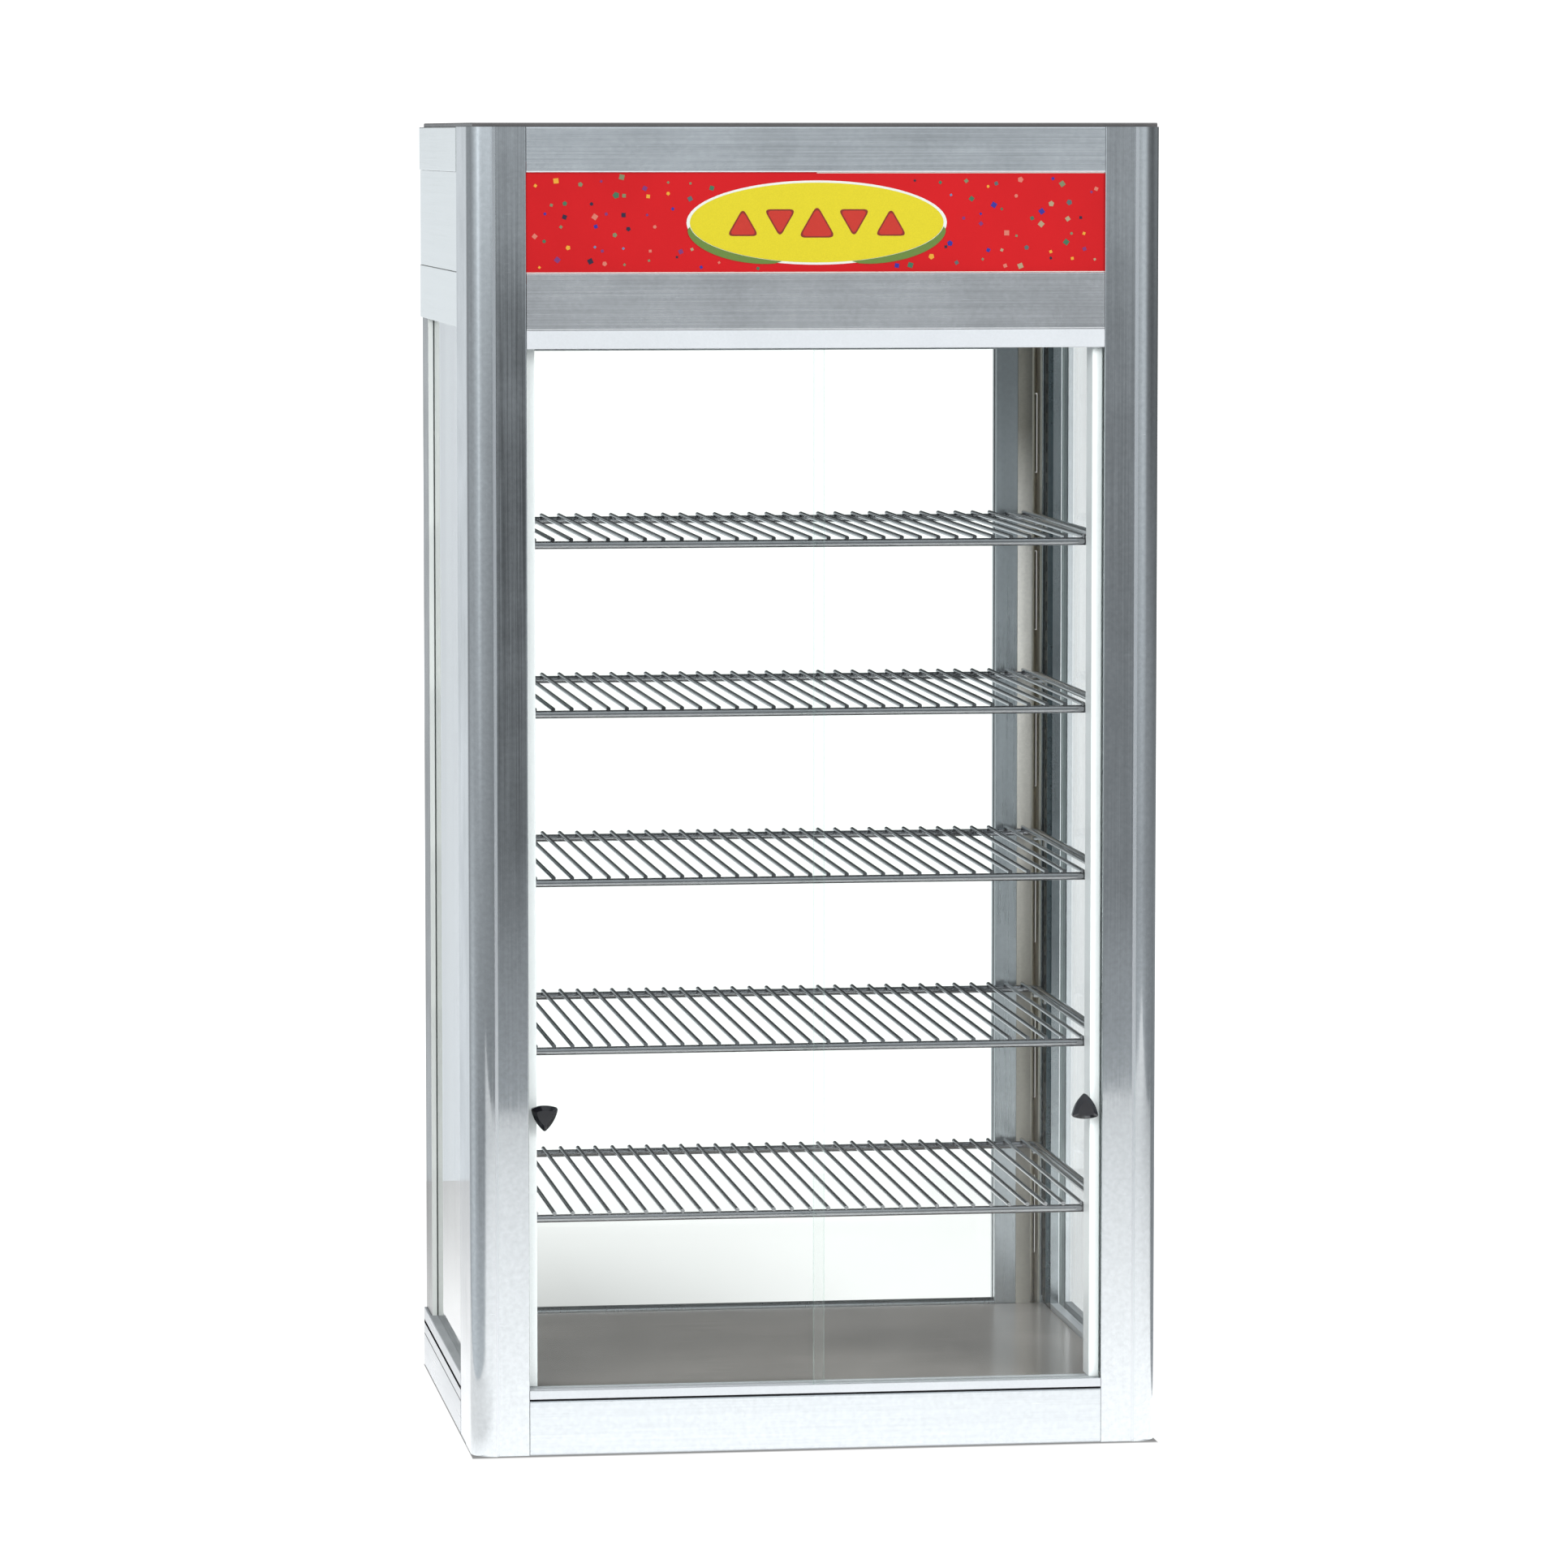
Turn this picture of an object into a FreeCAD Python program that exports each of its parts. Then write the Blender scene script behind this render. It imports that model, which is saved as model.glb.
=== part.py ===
import FreeCAD, Part
import math
import os

# Countertop glass door merchandiser. Millimetres, +Z up, front face towards -Y.
# The origin is the middle of the footprint, on the surface that the cabinet stands on.

V = FreeCAD.Vector

# --- driving dimensions -------------------------------------------------------
WIDTH = 525.0
DEPTH = 424.0
HEIGHT = 1004.0
HALF_W = WIDTH / 2
REAR = DEPTH / 2
FRONT = -REAR

FRAME_TOP = 1001.0              # top of posts and rails, under the roof panel
SIGN_TOP = 967.0
SIGN_BOTTOM = 892.0
HEADER_BOTTOM = 849.5
OPENING_TOP = 835.5
OPENING_BOTTOM = 49.3
BASE_TOP = 41.5
SIDE_GLASS_BOTTOM = 47.0
DECK_TOP = 43.0

SHEET = 1.5                     # folded sheet
WALL = 2.0                      # extrusion wall
GAP = 0.2                       # assembly gap between neighbouring frame pieces
GLASS = 4.0
RAIL_EDGE = 1.2                 # rounding of the rails' front edges
SOFT_EDGE = 0.8                 # rounding of other long edges
LONG = 100.0                    # edges longer than this are a member's long edges
CUT = 1.0                       # how far a cutting body runs past the face that it cuts

# corner posts and glazing stiles
POST_FACE = 43.5
POST_SIDE = 56.0
POST_RADIUS = 18.0
POST_STEP = 1.2                 # the flat flange sits this far behind the rounded nose
FACE_Y = FRONT + POST_STEP      # plane of the flanges, rails and base panel
STILE_REAR = FRONT + 102.0
REAR_POST_FRONT = REAR - 52.0
INNER_X = 244.2                 # inner faces of stiles, rear posts and side members
SKIN_X = 260.5                  # back of the side skins
SIDE_GLASS_X = 254.0            # mid-plane of the side glass
GROOVE_DEPTH = 8.0
GROOVE_PLAY = 0.6
FACE_HALF = HALF_W - POST_FACE - GAP
RAIL_FLANGE = 22.0
FOOT_FLANGE = 14.0
SIGN_THICK = 3.0
SIGN_LAP = 8.0
SLOT_Z = (34.4, 37.4)           # shadow slot along the side base
SLOT_DEPTH = 1.4
SEAM_Z = (25.4, 26.6)           # fine seam under the slot
SEAM_DEPTH = 0.6

# sliding front doors
OUTER_PANE_Y = FRONT + 4.6      # front face of the right-hand pane
INNER_PANE_Y = OUTER_PANE_Y + 12.2
PANE_EDGE = 218.3
PANE_BOTTOM = 43.9
PANE_TOP = 845.5
PANE_LAP = 10.0
OUTER_PANE_LEFT = -2.0
TRACK_REAR = INNER_PANE_Y + GLASS + 2.8
FIN_PLAY = 0.8
JAMB_INNER = 211.0
JAMB_REAR = FRONT + 34.0
REBATE = 1.4                    # shadow line under the lower track
PULL_X = 206.0
PULL_Z = 257.0
PULL_REACH = 11.8               # centre of the pull to a corner
PULL_THICK = 7.6
PULL_BASE = 4.0

# shelves
SHELF_COUNT = 5
SHELF_FIRST = 175.0
SHELF_PITCH = 128.0
SHELF_HALF = 235.5
SHELF_FRONT = -172.0
SHELF_REAR = 181.0
SHELF_CORNER = 12.0
RIM_R = 3.0
WIRE_R = 1.6
WIRE_PITCH = 14.0
WIRE_COUNT = 33
WELD = 0.6                      # how deep a wire sinks into the rim
WIRE_END = 2.0                  # how far a wire runs past the rim's centre line
SLOT_PITCH = 16.0
PILASTER_DEPTH = 3.5
PILASTER_WIDTH = 14.0
PILASTER_WEB = 1.2
PILASTER_Y = (-138.0, 170.0)

# rear door and its continuous hinge
HINGE_X = 236.5
DOOR_THICK = 20.0
DOOR_FRONT = REAR - DOOR_THICK
SILL_FRONT = DOOR_FRONT - 2.0
PAN_THICK = 1.2
DOOR_RIGHT = 232.6
DOOR_LEFT = -241.5
DOOR_BOTTOM = 17.0
DOOR_GROOVE = 6.5
DOOR_TOP = 850.4
STILE_WIDTH = 29.3
RAIL_HEIGHT = 28.0
KNUCKLE_R = 3.2
PIN_R = 1.5
KNUCKLES = 13
KNUCKLE_PITCH = 64.0
LEAF = 1.2
PACKER_X = 240.5                # inner face of the packer that carries the frame leaf
PACKER_FRONT = REAR - 22.0

# header equipment
TRAY_Z = 851.1
TRAY_TOP = TRAY_Z + SHEET
FAN_SIZE = 120.0
FAN_X = 0.0
FAN_Y = 60.0
FAN_HEIGHT = 25.0
SHAFT_R = 1.5
LAMP_CAP = 12.0
CONTROL_Z = 935.0
THERMOSTAT_X = 150.0
SWITCH_X = 85.0
INLET_X = -180.0
FIT = 0.1                       # play round a part that is pushed through the rear panel
BUSH_R = 5.0
SPINDLE_R = 3.0
SWITCH_HALF = 6.5
SWITCH_REACH = 9.5
INLET_HALF = 14.0
INLET_REACH = 10.5
TOP_FOLD = 24.0
FOOT_FOLD = 34.0

# screws
SCREW_R = 1.7
SCREW_HOLE_R = 1.75
HEAD_R = 3.5                    # countersunk head
SINK = 1.75                     # its height


# --- helpers ------------------------------------------------------------------
def box(x0, x1, y0, y1, z0, z1):
    return Part.makeBox(x1 - x0, y1 - y0, z1 - z0, V(x0, y0, z0))


def cylinder(radius, start, axis, length):
    return Part.makeCylinder(radius, length, start, axis)


def mirrored(shape):
    return shape.mirror(V(0, 0, 0), V(1, 0, 0))


def extrude_outline(edges, height):
    return Part.Face(Part.Wire(edges)).extrude(V(0, 0, height))


def line(a, b):
    return Part.LineSegment(V(*a), V(*b)).toShape()


def arc(a, middle, b):
    return Part.Arc(V(*a), V(*middle), V(*b)).toShape()


def long_edges(shape, axis, value):
    """Long edges that lie in the plane where the axis has this value."""
    found = []
    for edge in shape.Edges:
        bounds = edge.BoundBox
        low = {"X": bounds.XMin, "Y": bounds.YMin, "Z": bounds.ZMin}[axis]
        high = {"X": bounds.XMax, "Y": bounds.YMax, "Z": bounds.ZMax}[axis]
        if edge.Length > LONG and low > value - 0.01 and high < value + 0.01:
            found.append(edge)
    return found


def rounded(shape, radius, axis, value):
    return shape.makeFillet(radius, long_edges(shape, axis, value))


def save(name, shape):
    solids = shape.Solids
    for solid in solids:
        assert solid.isValid(), name
    kept = solids[0] if len(solids) == 1 else Part.makeCompound(solids)
    kept.exportStep("parts/" + name + ".step")


# --- corner frame -------------------------------------------------------------
def front_post():
    """Left front post: one extrusion with a rounded nose and two flanges."""
    cx = -HALF_W + POST_RADIUS
    cy = FRONT + POST_RADIUS
    half = math.sqrt(0.5)
    inner_r = POST_RADIUS - POST_STEP - WALL
    side_y = FRONT + POST_SIDE
    flange_x = -HALF_W + POST_FACE
    edges = [
        line((-HALF_W, side_y, 0), (-HALF_W, cy, 0)),
        arc((-HALF_W, cy, 0), (cx - POST_RADIUS * half, cy - POST_RADIUS * half, 0), (cx, FRONT, 0)),
        line((cx, FRONT, 0), (cx + 2 * POST_STEP, FACE_Y, 0)),
        line((cx + 2 * POST_STEP, FACE_Y, 0), (flange_x - SOFT_EDGE, FACE_Y, 0)),
        arc((flange_x - SOFT_EDGE, FACE_Y, 0), (flange_x - SOFT_EDGE + SOFT_EDGE * half,
            FACE_Y + SOFT_EDGE - SOFT_EDGE * half, 0), (flange_x, FACE_Y + SOFT_EDGE, 0)),
        line((flange_x, FACE_Y + SOFT_EDGE, 0), (flange_x, FACE_Y + WALL, 0)),
        line((flange_x, FACE_Y + WALL, 0), (cx, FACE_Y + WALL, 0)),
        arc((cx, FACE_Y + WALL, 0), (cx - inner_r * half, cy - inner_r * half, 0), (cx - inner_r, cy, 0)),
        line((cx - inner_r, cy, 0), (cx - inner_r, side_y, 0)),
        line((cx - inner_r, side_y, 0), (-HALF_W, side_y, 0)),
    ]
    return extrude_outline(edges, FRAME_TOP)


def glazing_stile():
    """Left stile: closes the side behind the post and holds the front edge of the side glass."""
    front = FRONT + POST_SIDE + GAP
    outer = -HALF_W + 0.3
    body = rounded(box(outer, -INNER_X, front, STILE_REAR, 0, FRAME_TOP), SOFT_EDGE, "X", outer)
    cavity_rear = STILE_REAR - GROOVE_DEPTH - WALL
    cavity = box(outer + WALL, -INNER_X - WALL, front + WALL, cavity_rear, -CUT, FRAME_TOP + CUT)
    play = GLASS / 2 + GROOVE_PLAY
    groove = box(-SIDE_GLASS_X - play, -SIDE_GLASS_X + play, STILE_REAR - GROOVE_DEPTH, STILE_REAR + CUT,
                 -CUT, FRAME_TOP + CUT)
    tongue_x = outer + 3.0
    tongue = box(tongue_x, tongue_x + 2.5, front - 20.0, front + CUT, 0, FRAME_TOP)
    return body.cut(cavity).cut(groove).fuse(tongue).removeSplitter()


def rear_post():
    """Left rear post: box section with a groove for the side glass."""
    outer = -SKIN_X + 0.1
    body = rounded(box(outer, -INNER_X, REAR_POST_FRONT, REAR, 0, FRAME_TOP), SOFT_EDGE, "Y", REAR)
    cavity_front = REAR_POST_FRONT + GROOVE_DEPTH + WALL
    cavity = box(outer + WALL, -INNER_X - WALL, cavity_front, REAR - WALL, -CUT, FRAME_TOP + CUT)
    play = GLASS / 2 + GROOVE_PLAY
    groove = box(-SIDE_GLASS_X - play, -SIDE_GLASS_X + play, REAR_POST_FRONT - CUT,
                 REAR_POST_FRONT + GROOVE_DEPTH, -CUT, FRAME_TOP + CUT)
    return body.cut(cavity).cut(groove)


def hinge_post():
    """Right rear post: the rear post's mirror image with a packer for the hinge."""
    packer = box(PACKER_X, INNER_X + CUT, PACKER_FRONT, REAR, DOOR_BOTTOM, DOOR_TOP)
    packer = rounded(packer, SOFT_EDGE, "Y", PACKER_FRONT)
    return mirrored(rear_post()).fuse(packer).removeSplitter()


def side_member(outer, z0, z1, groove_at_top):
    """Hollow side rail between stile and rear post, with its skin lapping the rear post."""
    front = STILE_REAR + GAP
    rear = REAR_POST_FRONT - GAP
    body = box(outer, -INNER_X, front, rear, z0, z1)
    play = GLASS / 2 + GROOVE_PLAY
    if groove_at_top:
        groove_z = (z1 - GROOVE_DEPTH, z1 + CUT)
        cavity_z = (z0 + WALL, z1 - GROOVE_DEPTH - 3 * WALL)
    else:
        groove_z = (z0 - CUT, z0 + GROOVE_DEPTH)
        cavity_z = (z0 + GROOVE_DEPTH + WALL, z1 - WALL)
    cavity = box(outer + WALL, -INNER_X - WALL, front - CUT, rear + CUT, cavity_z[0], cavity_z[1])
    groove = box(-SIDE_GLASS_X - play, -SIDE_GLASS_X + play, front - CUT, rear + CUT,
                 groove_z[0], groove_z[1])
    skin = box(outer, -SKIN_X, rear - CUT, REAR, z0, z1)
    whole = body.fuse(skin).removeSplitter()
    return rounded(whole, SOFT_EDGE, "X", outer).cut(cavity).cut(groove)


def base_side_panel():
    """Left base member: glass groove on top, a shadow slot and a fine seam line outside."""
    body = side_member(-HALF_W, 0, SIDE_GLASS_BOTTOM, True)
    slot = box(-HALF_W - CUT, -HALF_W + SLOT_DEPTH, STILE_REAR, REAR + CUT, SLOT_Z[0], SLOT_Z[1])
    seam = box(-HALF_W - CUT, -HALF_W + SEAM_DEPTH, STILE_REAR, REAR + CUT, SEAM_Z[0], SEAM_Z[1])
    return body.cut(slot).cut(seam)


def header_band():
    return side_member(-HALF_W + 0.5, HEADER_BOTTOM, SIGN_BOTTOM - 0.5, False)


def top_side_rail():
    front = STILE_REAR + GAP
    skin = box(-HALF_W, -SKIN_X, front, REAR, SIGN_TOP, FRAME_TOP)
    flange = box(-HALF_W, -INNER_X, front, REAR_POST_FRONT - GAP, FRAME_TOP - SHEET, FRAME_TOP)
    return rounded(skin.fuse(flange).removeSplitter(), SOFT_EDGE, "X", -HALF_W)


def upper_side_panel():
    return box(-HALF_W + 0.8, -SKIN_X, STILE_REAR + GAP, REAR, SIGN_BOTTOM - 0.3, SIGN_TOP - 0.2)


def side_glass():
    bottom = SIDE_GLASS_BOTTOM - GROOVE_DEPTH + 0.5
    top = HEADER_BOTTOM + GROOVE_DEPTH - 0.5
    front = STILE_REAR - GROOVE_DEPTH + 0.5
    rear = REAR_POST_FRONT + GROOVE_DEPTH - 0.5
    half = GLASS / 2
    return box(-SIDE_GLASS_X - half, -SIDE_GLASS_X + half, front, rear, bottom, top)


# --- front header, sign and base ----------------------------------------------
def top_front_rail():
    web = box(-FACE_HALF, FACE_HALF, FACE_Y, FACE_Y + WALL, SIGN_TOP, FRAME_TOP)
    flange = box(-FACE_HALF, FACE_HALF, FACE_Y, FACE_Y + RAIL_FLANGE, FRAME_TOP - SHEET, FRAME_TOP)
    rail = rounded(web.fuse(flange).removeSplitter(), RAIL_EDGE, "Y", FACE_Y)
    return rail.cut(Part.makeCompound(roof_screw_holes()))


def front_header_rail():
    web = box(-FACE_HALF, FACE_HALF, FACE_Y, FACE_Y + WALL, HEADER_BOTTOM, SIGN_BOTTOM)
    flange = box(-FACE_HALF, FACE_HALF, FACE_Y, TRACK_REAR, HEADER_BOTTOM, HEADER_BOTTOM + SHEET)
    return rounded(web.fuse(flange).removeSplitter(), RAIL_EDGE, "Y", FACE_Y)


def sign_panel():
    """Translucent panel that slides behind the two front rails."""
    y = FACE_Y + WALL + GAP
    half = FACE_HALF + 5.0
    return box(-half, half, y, y + SIGN_THICK, SIGN_BOTTOM - SIGN_LAP, SIGN_TOP + SIGN_LAP)


def roof_screw_points():
    return [(x, y) for y in (FACE_Y + 12, REAR - 13) for x in (-180.0, -60.0, 60.0, 180.0)]


def countersunk_screw(length):
    """Flush screw along -Z with its head at the origin."""
    head = Part.makeCone(SCREW_HOLE_R, HEAD_R, SINK, V(0, 0, -SINK), V(0, 0, 1))
    shank = Part.makeCylinder(SCREW_R, length - SINK, V(0, 0, -length), V(0, 0, 1))
    recess = box(-1.9, 1.9, -0.4, 0.4, -0.8, CUT)
    return head.fuse(shank).cut(recess).cut(recess.rotated(V(0, 0, 0), V(0, 0, 1), 90)).removeSplitter()


def roof_screw_holes():
    holes = []
    for x, y in roof_screw_points():
        holes.append(Part.makeCone(SCREW_HOLE_R, HEAD_R, SINK, V(x, y, HEIGHT - SINK), V(0, 0, 1)))
        holes.append(Part.makeCylinder(SCREW_HOLE_R, 12, V(x, y, HEIGHT - 12.75), V(0, 0, 1)))
    return holes


def rear_screw_points():
    return [(x, z) for z in (862.0, 991.0) for x in (-225.0, -75.0, 75.0, 225.0)]


def pan_screw(length):
    """Pan-head screw along -Y with the underside of its head on y = 0."""
    head_height = 2.0
    head = Part.makeCylinder(3.4, head_height, V(0, 0, 0), V(0, 1, 0))
    crown = [edge for edge in head.Edges if edge.BoundBox.YMin > head_height - 0.1]
    head = head.makeFillet(0.9, crown)
    shank = Part.makeCylinder(SCREW_R, length, V(0, -length, 0), V(0, 1, 0))
    slot = box(-2.2, 2.2, 1.2, head_height + CUT, -0.4, 0.4)
    return head.fuse(shank).removeSplitter().cut(slot).cut(slot.rotated(V(0, 0, 0), V(0, 1, 0), 90))


def cabinet_screws():
    screws = []
    for x, y in roof_screw_points():
        screws.append(countersunk_screw(8.0).translated(V(x, y, HEIGHT)))
    for x, z in rear_screw_points():
        screws.append(pan_screw(SHEET + 4).translated(V(x, REAR, z)))
    return Part.makeCompound(screws)


def roof_panel():
    """Roof sheet with folded edges, set just inside the rails."""
    edge = 3.5
    border = 40.0
    body = box(-HALF_W + edge, HALF_W - edge, FRONT + edge, REAR - edge, FRAME_TOP, HEIGHT)
    body = rounded(body, SOFT_EDGE, "Z", HEIGHT)
    relief = box(-HALF_W + border, HALF_W - border, FRONT + border, REAR - border, FRAME_TOP - CUT,
                 HEIGHT - SHEET)
    return body.cut(relief).cut(Part.makeCompound(roof_screw_holes()))


def track(z_web, z_fin, web_up):
    """Two-groove door track: one web and three fins."""
    y0 = FACE_Y
    web_z = (z_web - SHEET, z_web) if web_up else (z_web, z_web + SHEET)
    low, high = min(z_web, z_fin), max(z_web, z_fin)
    fins = [
        (y0, OUTER_PANE_Y - FIN_PLAY),
        (OUTER_PANE_Y + GLASS + FIN_PLAY, INNER_PANE_Y - FIN_PLAY),
        (INNER_PANE_Y + GLASS + FIN_PLAY, TRACK_REAR),
    ]
    body = box(-FACE_HALF, FACE_HALF, y0, TRACK_REAR, web_z[0], web_z[1])
    for fin_front, fin_rear in fins:
        body = body.fuse(box(-FACE_HALF, FACE_HALF, fin_front, fin_rear, low, high))
    return rounded(body.removeSplitter(), SOFT_EDGE, "Y", FACE_Y)


def bottom_track():
    """Lower track, whose front fin stands back over the base panel as a shadow line."""
    z0 = BASE_TOP + GAP / 2
    shadow = box(-FACE_HALF - CUT, FACE_HALF + CUT, FACE_Y - CUT, FACE_Y + REBATE, z0 - CUT, z0 + REBATE)
    return track(z0, OPENING_BOTTOM, False).cut(shadow)


def jamb(front):
    """Left upright that the inner door closes in front of, with a return to the stile."""
    upright = box(-FACE_HALF, -JAMB_INNER, front, JAMB_REAR, OPENING_BOTTOM + GAP, OPENING_TOP - GAP)
    plate = box(-INNER_X + GAP, -JAMB_INNER, JAMB_REAR - WALL, JAMB_REAR,
                OPENING_BOTTOM + GAP, OPENING_TOP - GAP)
    return rounded(upright.fuse(plate).removeSplitter(), SOFT_EDGE, "Y", front)


def front_base_panel():
    web = box(-FACE_HALF, FACE_HALF, FACE_Y, FACE_Y + WALL, 0, BASE_TOP)
    top = box(-FACE_HALF, FACE_HALF, FACE_Y, TRACK_REAR, BASE_TOP - SHEET, BASE_TOP)
    foot = box(-FACE_HALF, FACE_HALF, FACE_Y, FACE_Y + FOOT_FLANGE, 0, SHEET)
    return rounded(web.fuse(top).fuse(foot).removeSplitter(), RAIL_EDGE, "Y", FACE_Y)


def rear_sill():
    half = INNER_X - GAP
    top = DOOR_BOTTOM - 1.0
    outer = rounded(box(-half, half, SILL_FRONT, REAR, 0, top), SOFT_EDGE, "Y", REAR)
    inner = box(-half - CUT, half + CUT, SILL_FRONT + SHEET, REAR - SHEET, SHEET, top - SHEET)
    return outer.cut(inner)


def base_pan():
    half = INNER_X - 0.3
    return box(-half, half, FACE_Y + FOOT_FLANGE + GAP, SILL_FRONT - GAP, 0, PAN_THICK)


def deck():
    """Display floor: a folded sheet that stands on the base pan."""
    half = INNER_X - 0.3
    front = TRACK_REAR + GAP
    rear = SILL_FRONT - GAP
    outer = rounded(box(-half, half, front, rear, PAN_THICK + GAP, DECK_TOP), SOFT_EDGE, "Z", DECK_TOP)
    inner = box(-half + SHEET, half - SHEET, front + SHEET, rear - SHEET, 0, DECK_TOP - SHEET)
    return outer.cut(inner)


# --- sliding doors -------------------------------------------------------------
def eased(shape, radius):
    edges = [edge for edge in shape.Edges if edge.Length > LONG]
    return shape.makeChamfer(radius, edges)


def outer_door_glass():
    pane = box(OUTER_PANE_LEFT, PANE_EDGE, OUTER_PANE_Y, OUTER_PANE_Y + GLASS, PANE_BOTTOM, PANE_TOP)
    return eased(pane, 0.5)


def inner_door_glass():
    pane = box(-PANE_EDGE, OUTER_PANE_LEFT + PANE_LAP, INNER_PANE_Y, INNER_PANE_Y + GLASS,
               PANE_BOTTOM, PANE_TOP)
    return eased(pane, 0.5)


def pull(x, pane_front, point_up):
    """Three-cornered finger pull with bulged sides, stuck on the face of a pane."""
    bulge = 0.66 * PULL_REACH
    crown_scale = 0.62
    start = 90.0 if point_up else -90.0
    corners = []
    middles = []
    for i in range(3):
        a = math.radians(start + 120.0 * i)
        b = math.radians(start + 60.0 + 120.0 * i)
        corners.append(V(PULL_REACH * math.cos(a), 0, PULL_REACH * math.sin(a)))
        middles.append(V(bulge * math.cos(b), 0, bulge * math.sin(b)))
    edges = [Part.Arc(corners[i], middles[i], corners[(i + 1) % 3]).toShape() for i in range(3)]
    base = Part.Face(Part.Wire(edges)).extrude(V(0, -PULL_BASE, 0))
    upright = [edge for edge in base.Edges if edge.BoundBox.YLength > PULL_BASE - 0.1]
    base = base.makeFillet(1.6, upright)
    face = [face for face in base.Faces if face.BoundBox.YMax < -PULL_BASE + 0.01][0]
    crown_wire = face.OuterWire.copy()
    crown_wire.scale(crown_scale)
    crown_wire.translate(V(0, -PULL_THICK + crown_scale * PULL_BASE, 0))
    crown = Part.makeLoft([face.OuterWire, crown_wire], True, True)
    body = base.fuse(crown).removeSplitter()
    return body.translated(V(x, pane_front, PULL_Z))


# --- shelves -------------------------------------------------------------------
def rod_loop(half_x, y0, y1, corner, radius, z):
    """Closed rounded rectangle of round rod."""
    half = math.sqrt(0.5)
    edges = []
    cx = half_x - corner
    cy0 = y0 + corner
    cy1 = y1 - corner
    edges.append(line((-cx, y0, z), (cx, y0, z)))
    edges.append(arc((cx, y0, z), (cx + corner * half, cy0 - corner * half, z), (half_x, cy0, z)))
    edges.append(line((half_x, cy0, z), (half_x, cy1, z)))
    edges.append(arc((half_x, cy1, z), (cx + corner * half, cy1 + corner * half, z), (cx, y1, z)))
    edges.append(line((cx, y1, z), (-cx, y1, z)))
    edges.append(arc((-cx, y1, z), (-cx - corner * half, cy1 + corner * half, z), (-half_x, cy1, z)))
    edges.append(line((-half_x, cy1, z), (-half_x, cy0, z)))
    edges.append(arc((-half_x, cy0, z), (-cx - corner * half, cy0 - corner * half, z), (-cx, y0, z)))
    path = Part.Wire(edges)
    section = Part.Wire(Part.makeCircle(radius, V(-cx, y0, z), V(1, 0, 0)))
    return path.makePipeShell([section], True, True)


def shelf(index):
    """Welded wire shelf: a rim rod with the wires on top."""
    z = SHELF_FIRST + SHELF_PITCH * index
    wire_z = z + RIM_R + WIRE_R - WELD
    rods = []
    wire_length = SHELF_REAR - SHELF_FRONT + 2 * WIRE_END
    first = -WIRE_PITCH * (WIRE_COUNT - 1) / 2
    for i in range(WIRE_COUNT):
        x = first + WIRE_PITCH * i
        rods.append(cylinder(WIRE_R, V(x, SHELF_FRONT - WIRE_END, wire_z), V(0, 1, 0), wire_length))
    rim = rod_loop(SHELF_HALF, SHELF_FRONT, SHELF_REAR, SHELF_CORNER, RIM_R, z)
    rim = Part.Solid(rim) if rim.ShapeType == "Shell" else rim
    return rim.fuse(rods)


def pilaster(y):
    """Slotted shelf support strip on the left inner wall."""
    inner = -INNER_X + PILASTER_DEPTH
    z0 = DECK_TOP + 4
    z1 = HEADER_BOTTOM - 4
    half = PILASTER_WIDTH / 2
    body = box(-INNER_X, inner, y - half, y + half, z0, z1)
    hollow = box(-INNER_X - CUT, inner - PILASTER_WEB, y - half + PILASTER_WEB, y + half - PILASTER_WEB,
                 z0 - CUT, z1 + CUT)
    slot_half = 1.6
    slot_reach = 4.0
    under_shelf = SHELF_FIRST - 7.8
    first = under_shelf - SLOT_PITCH * int((under_shelf - z0) / SLOT_PITCH)
    slots = []
    for i in range(int((z1 - z0) / SLOT_PITCH)):
        z = first + SLOT_PITCH * i
        if z < z1 - 1.5 * slot_reach:
            slots.append(box(inner - 2 * PILASTER_WEB, inner + CUT, y - slot_half, y + slot_half,
                             z - slot_reach, z + slot_reach))
    return body.cut(hollow).cut(Part.makeCompound(slots))


def shelf_pilasters():
    strips = [pilaster(y) for y in PILASTER_Y]
    return Part.makeCompound(strips + [mirrored(strip) for strip in strips])


def shelf_clip(y, z):
    """Clip hooked in a pilaster slot, with its tongue under the shelf rim."""
    inner = -INNER_X + PILASTER_DEPTH
    top = z - RIM_R - 0.3
    half = 5.0
    tongue = box(inner, inner + 2 * half, y - half, y + half, top - 2, top)
    plate = box(inner, inner + 1.4, y - half, y + half, top - 8, top)
    neck = box(inner - PILASTER_WEB - 1.2, inner + 1, y - 1.3, y + 1.3, top - 7, top - 2.5)
    return tongue.fuse(plate).fuse(neck).removeSplitter()


def shelf_clips():
    clips = []
    for index in range(SHELF_COUNT):
        z = SHELF_FIRST + SHELF_PITCH * index
        for y in PILASTER_Y:
            clips.append(shelf_clip(y, z))
            clips.append(mirrored(shelf_clip(y, z)))
    return Part.makeCompound(clips)


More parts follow.
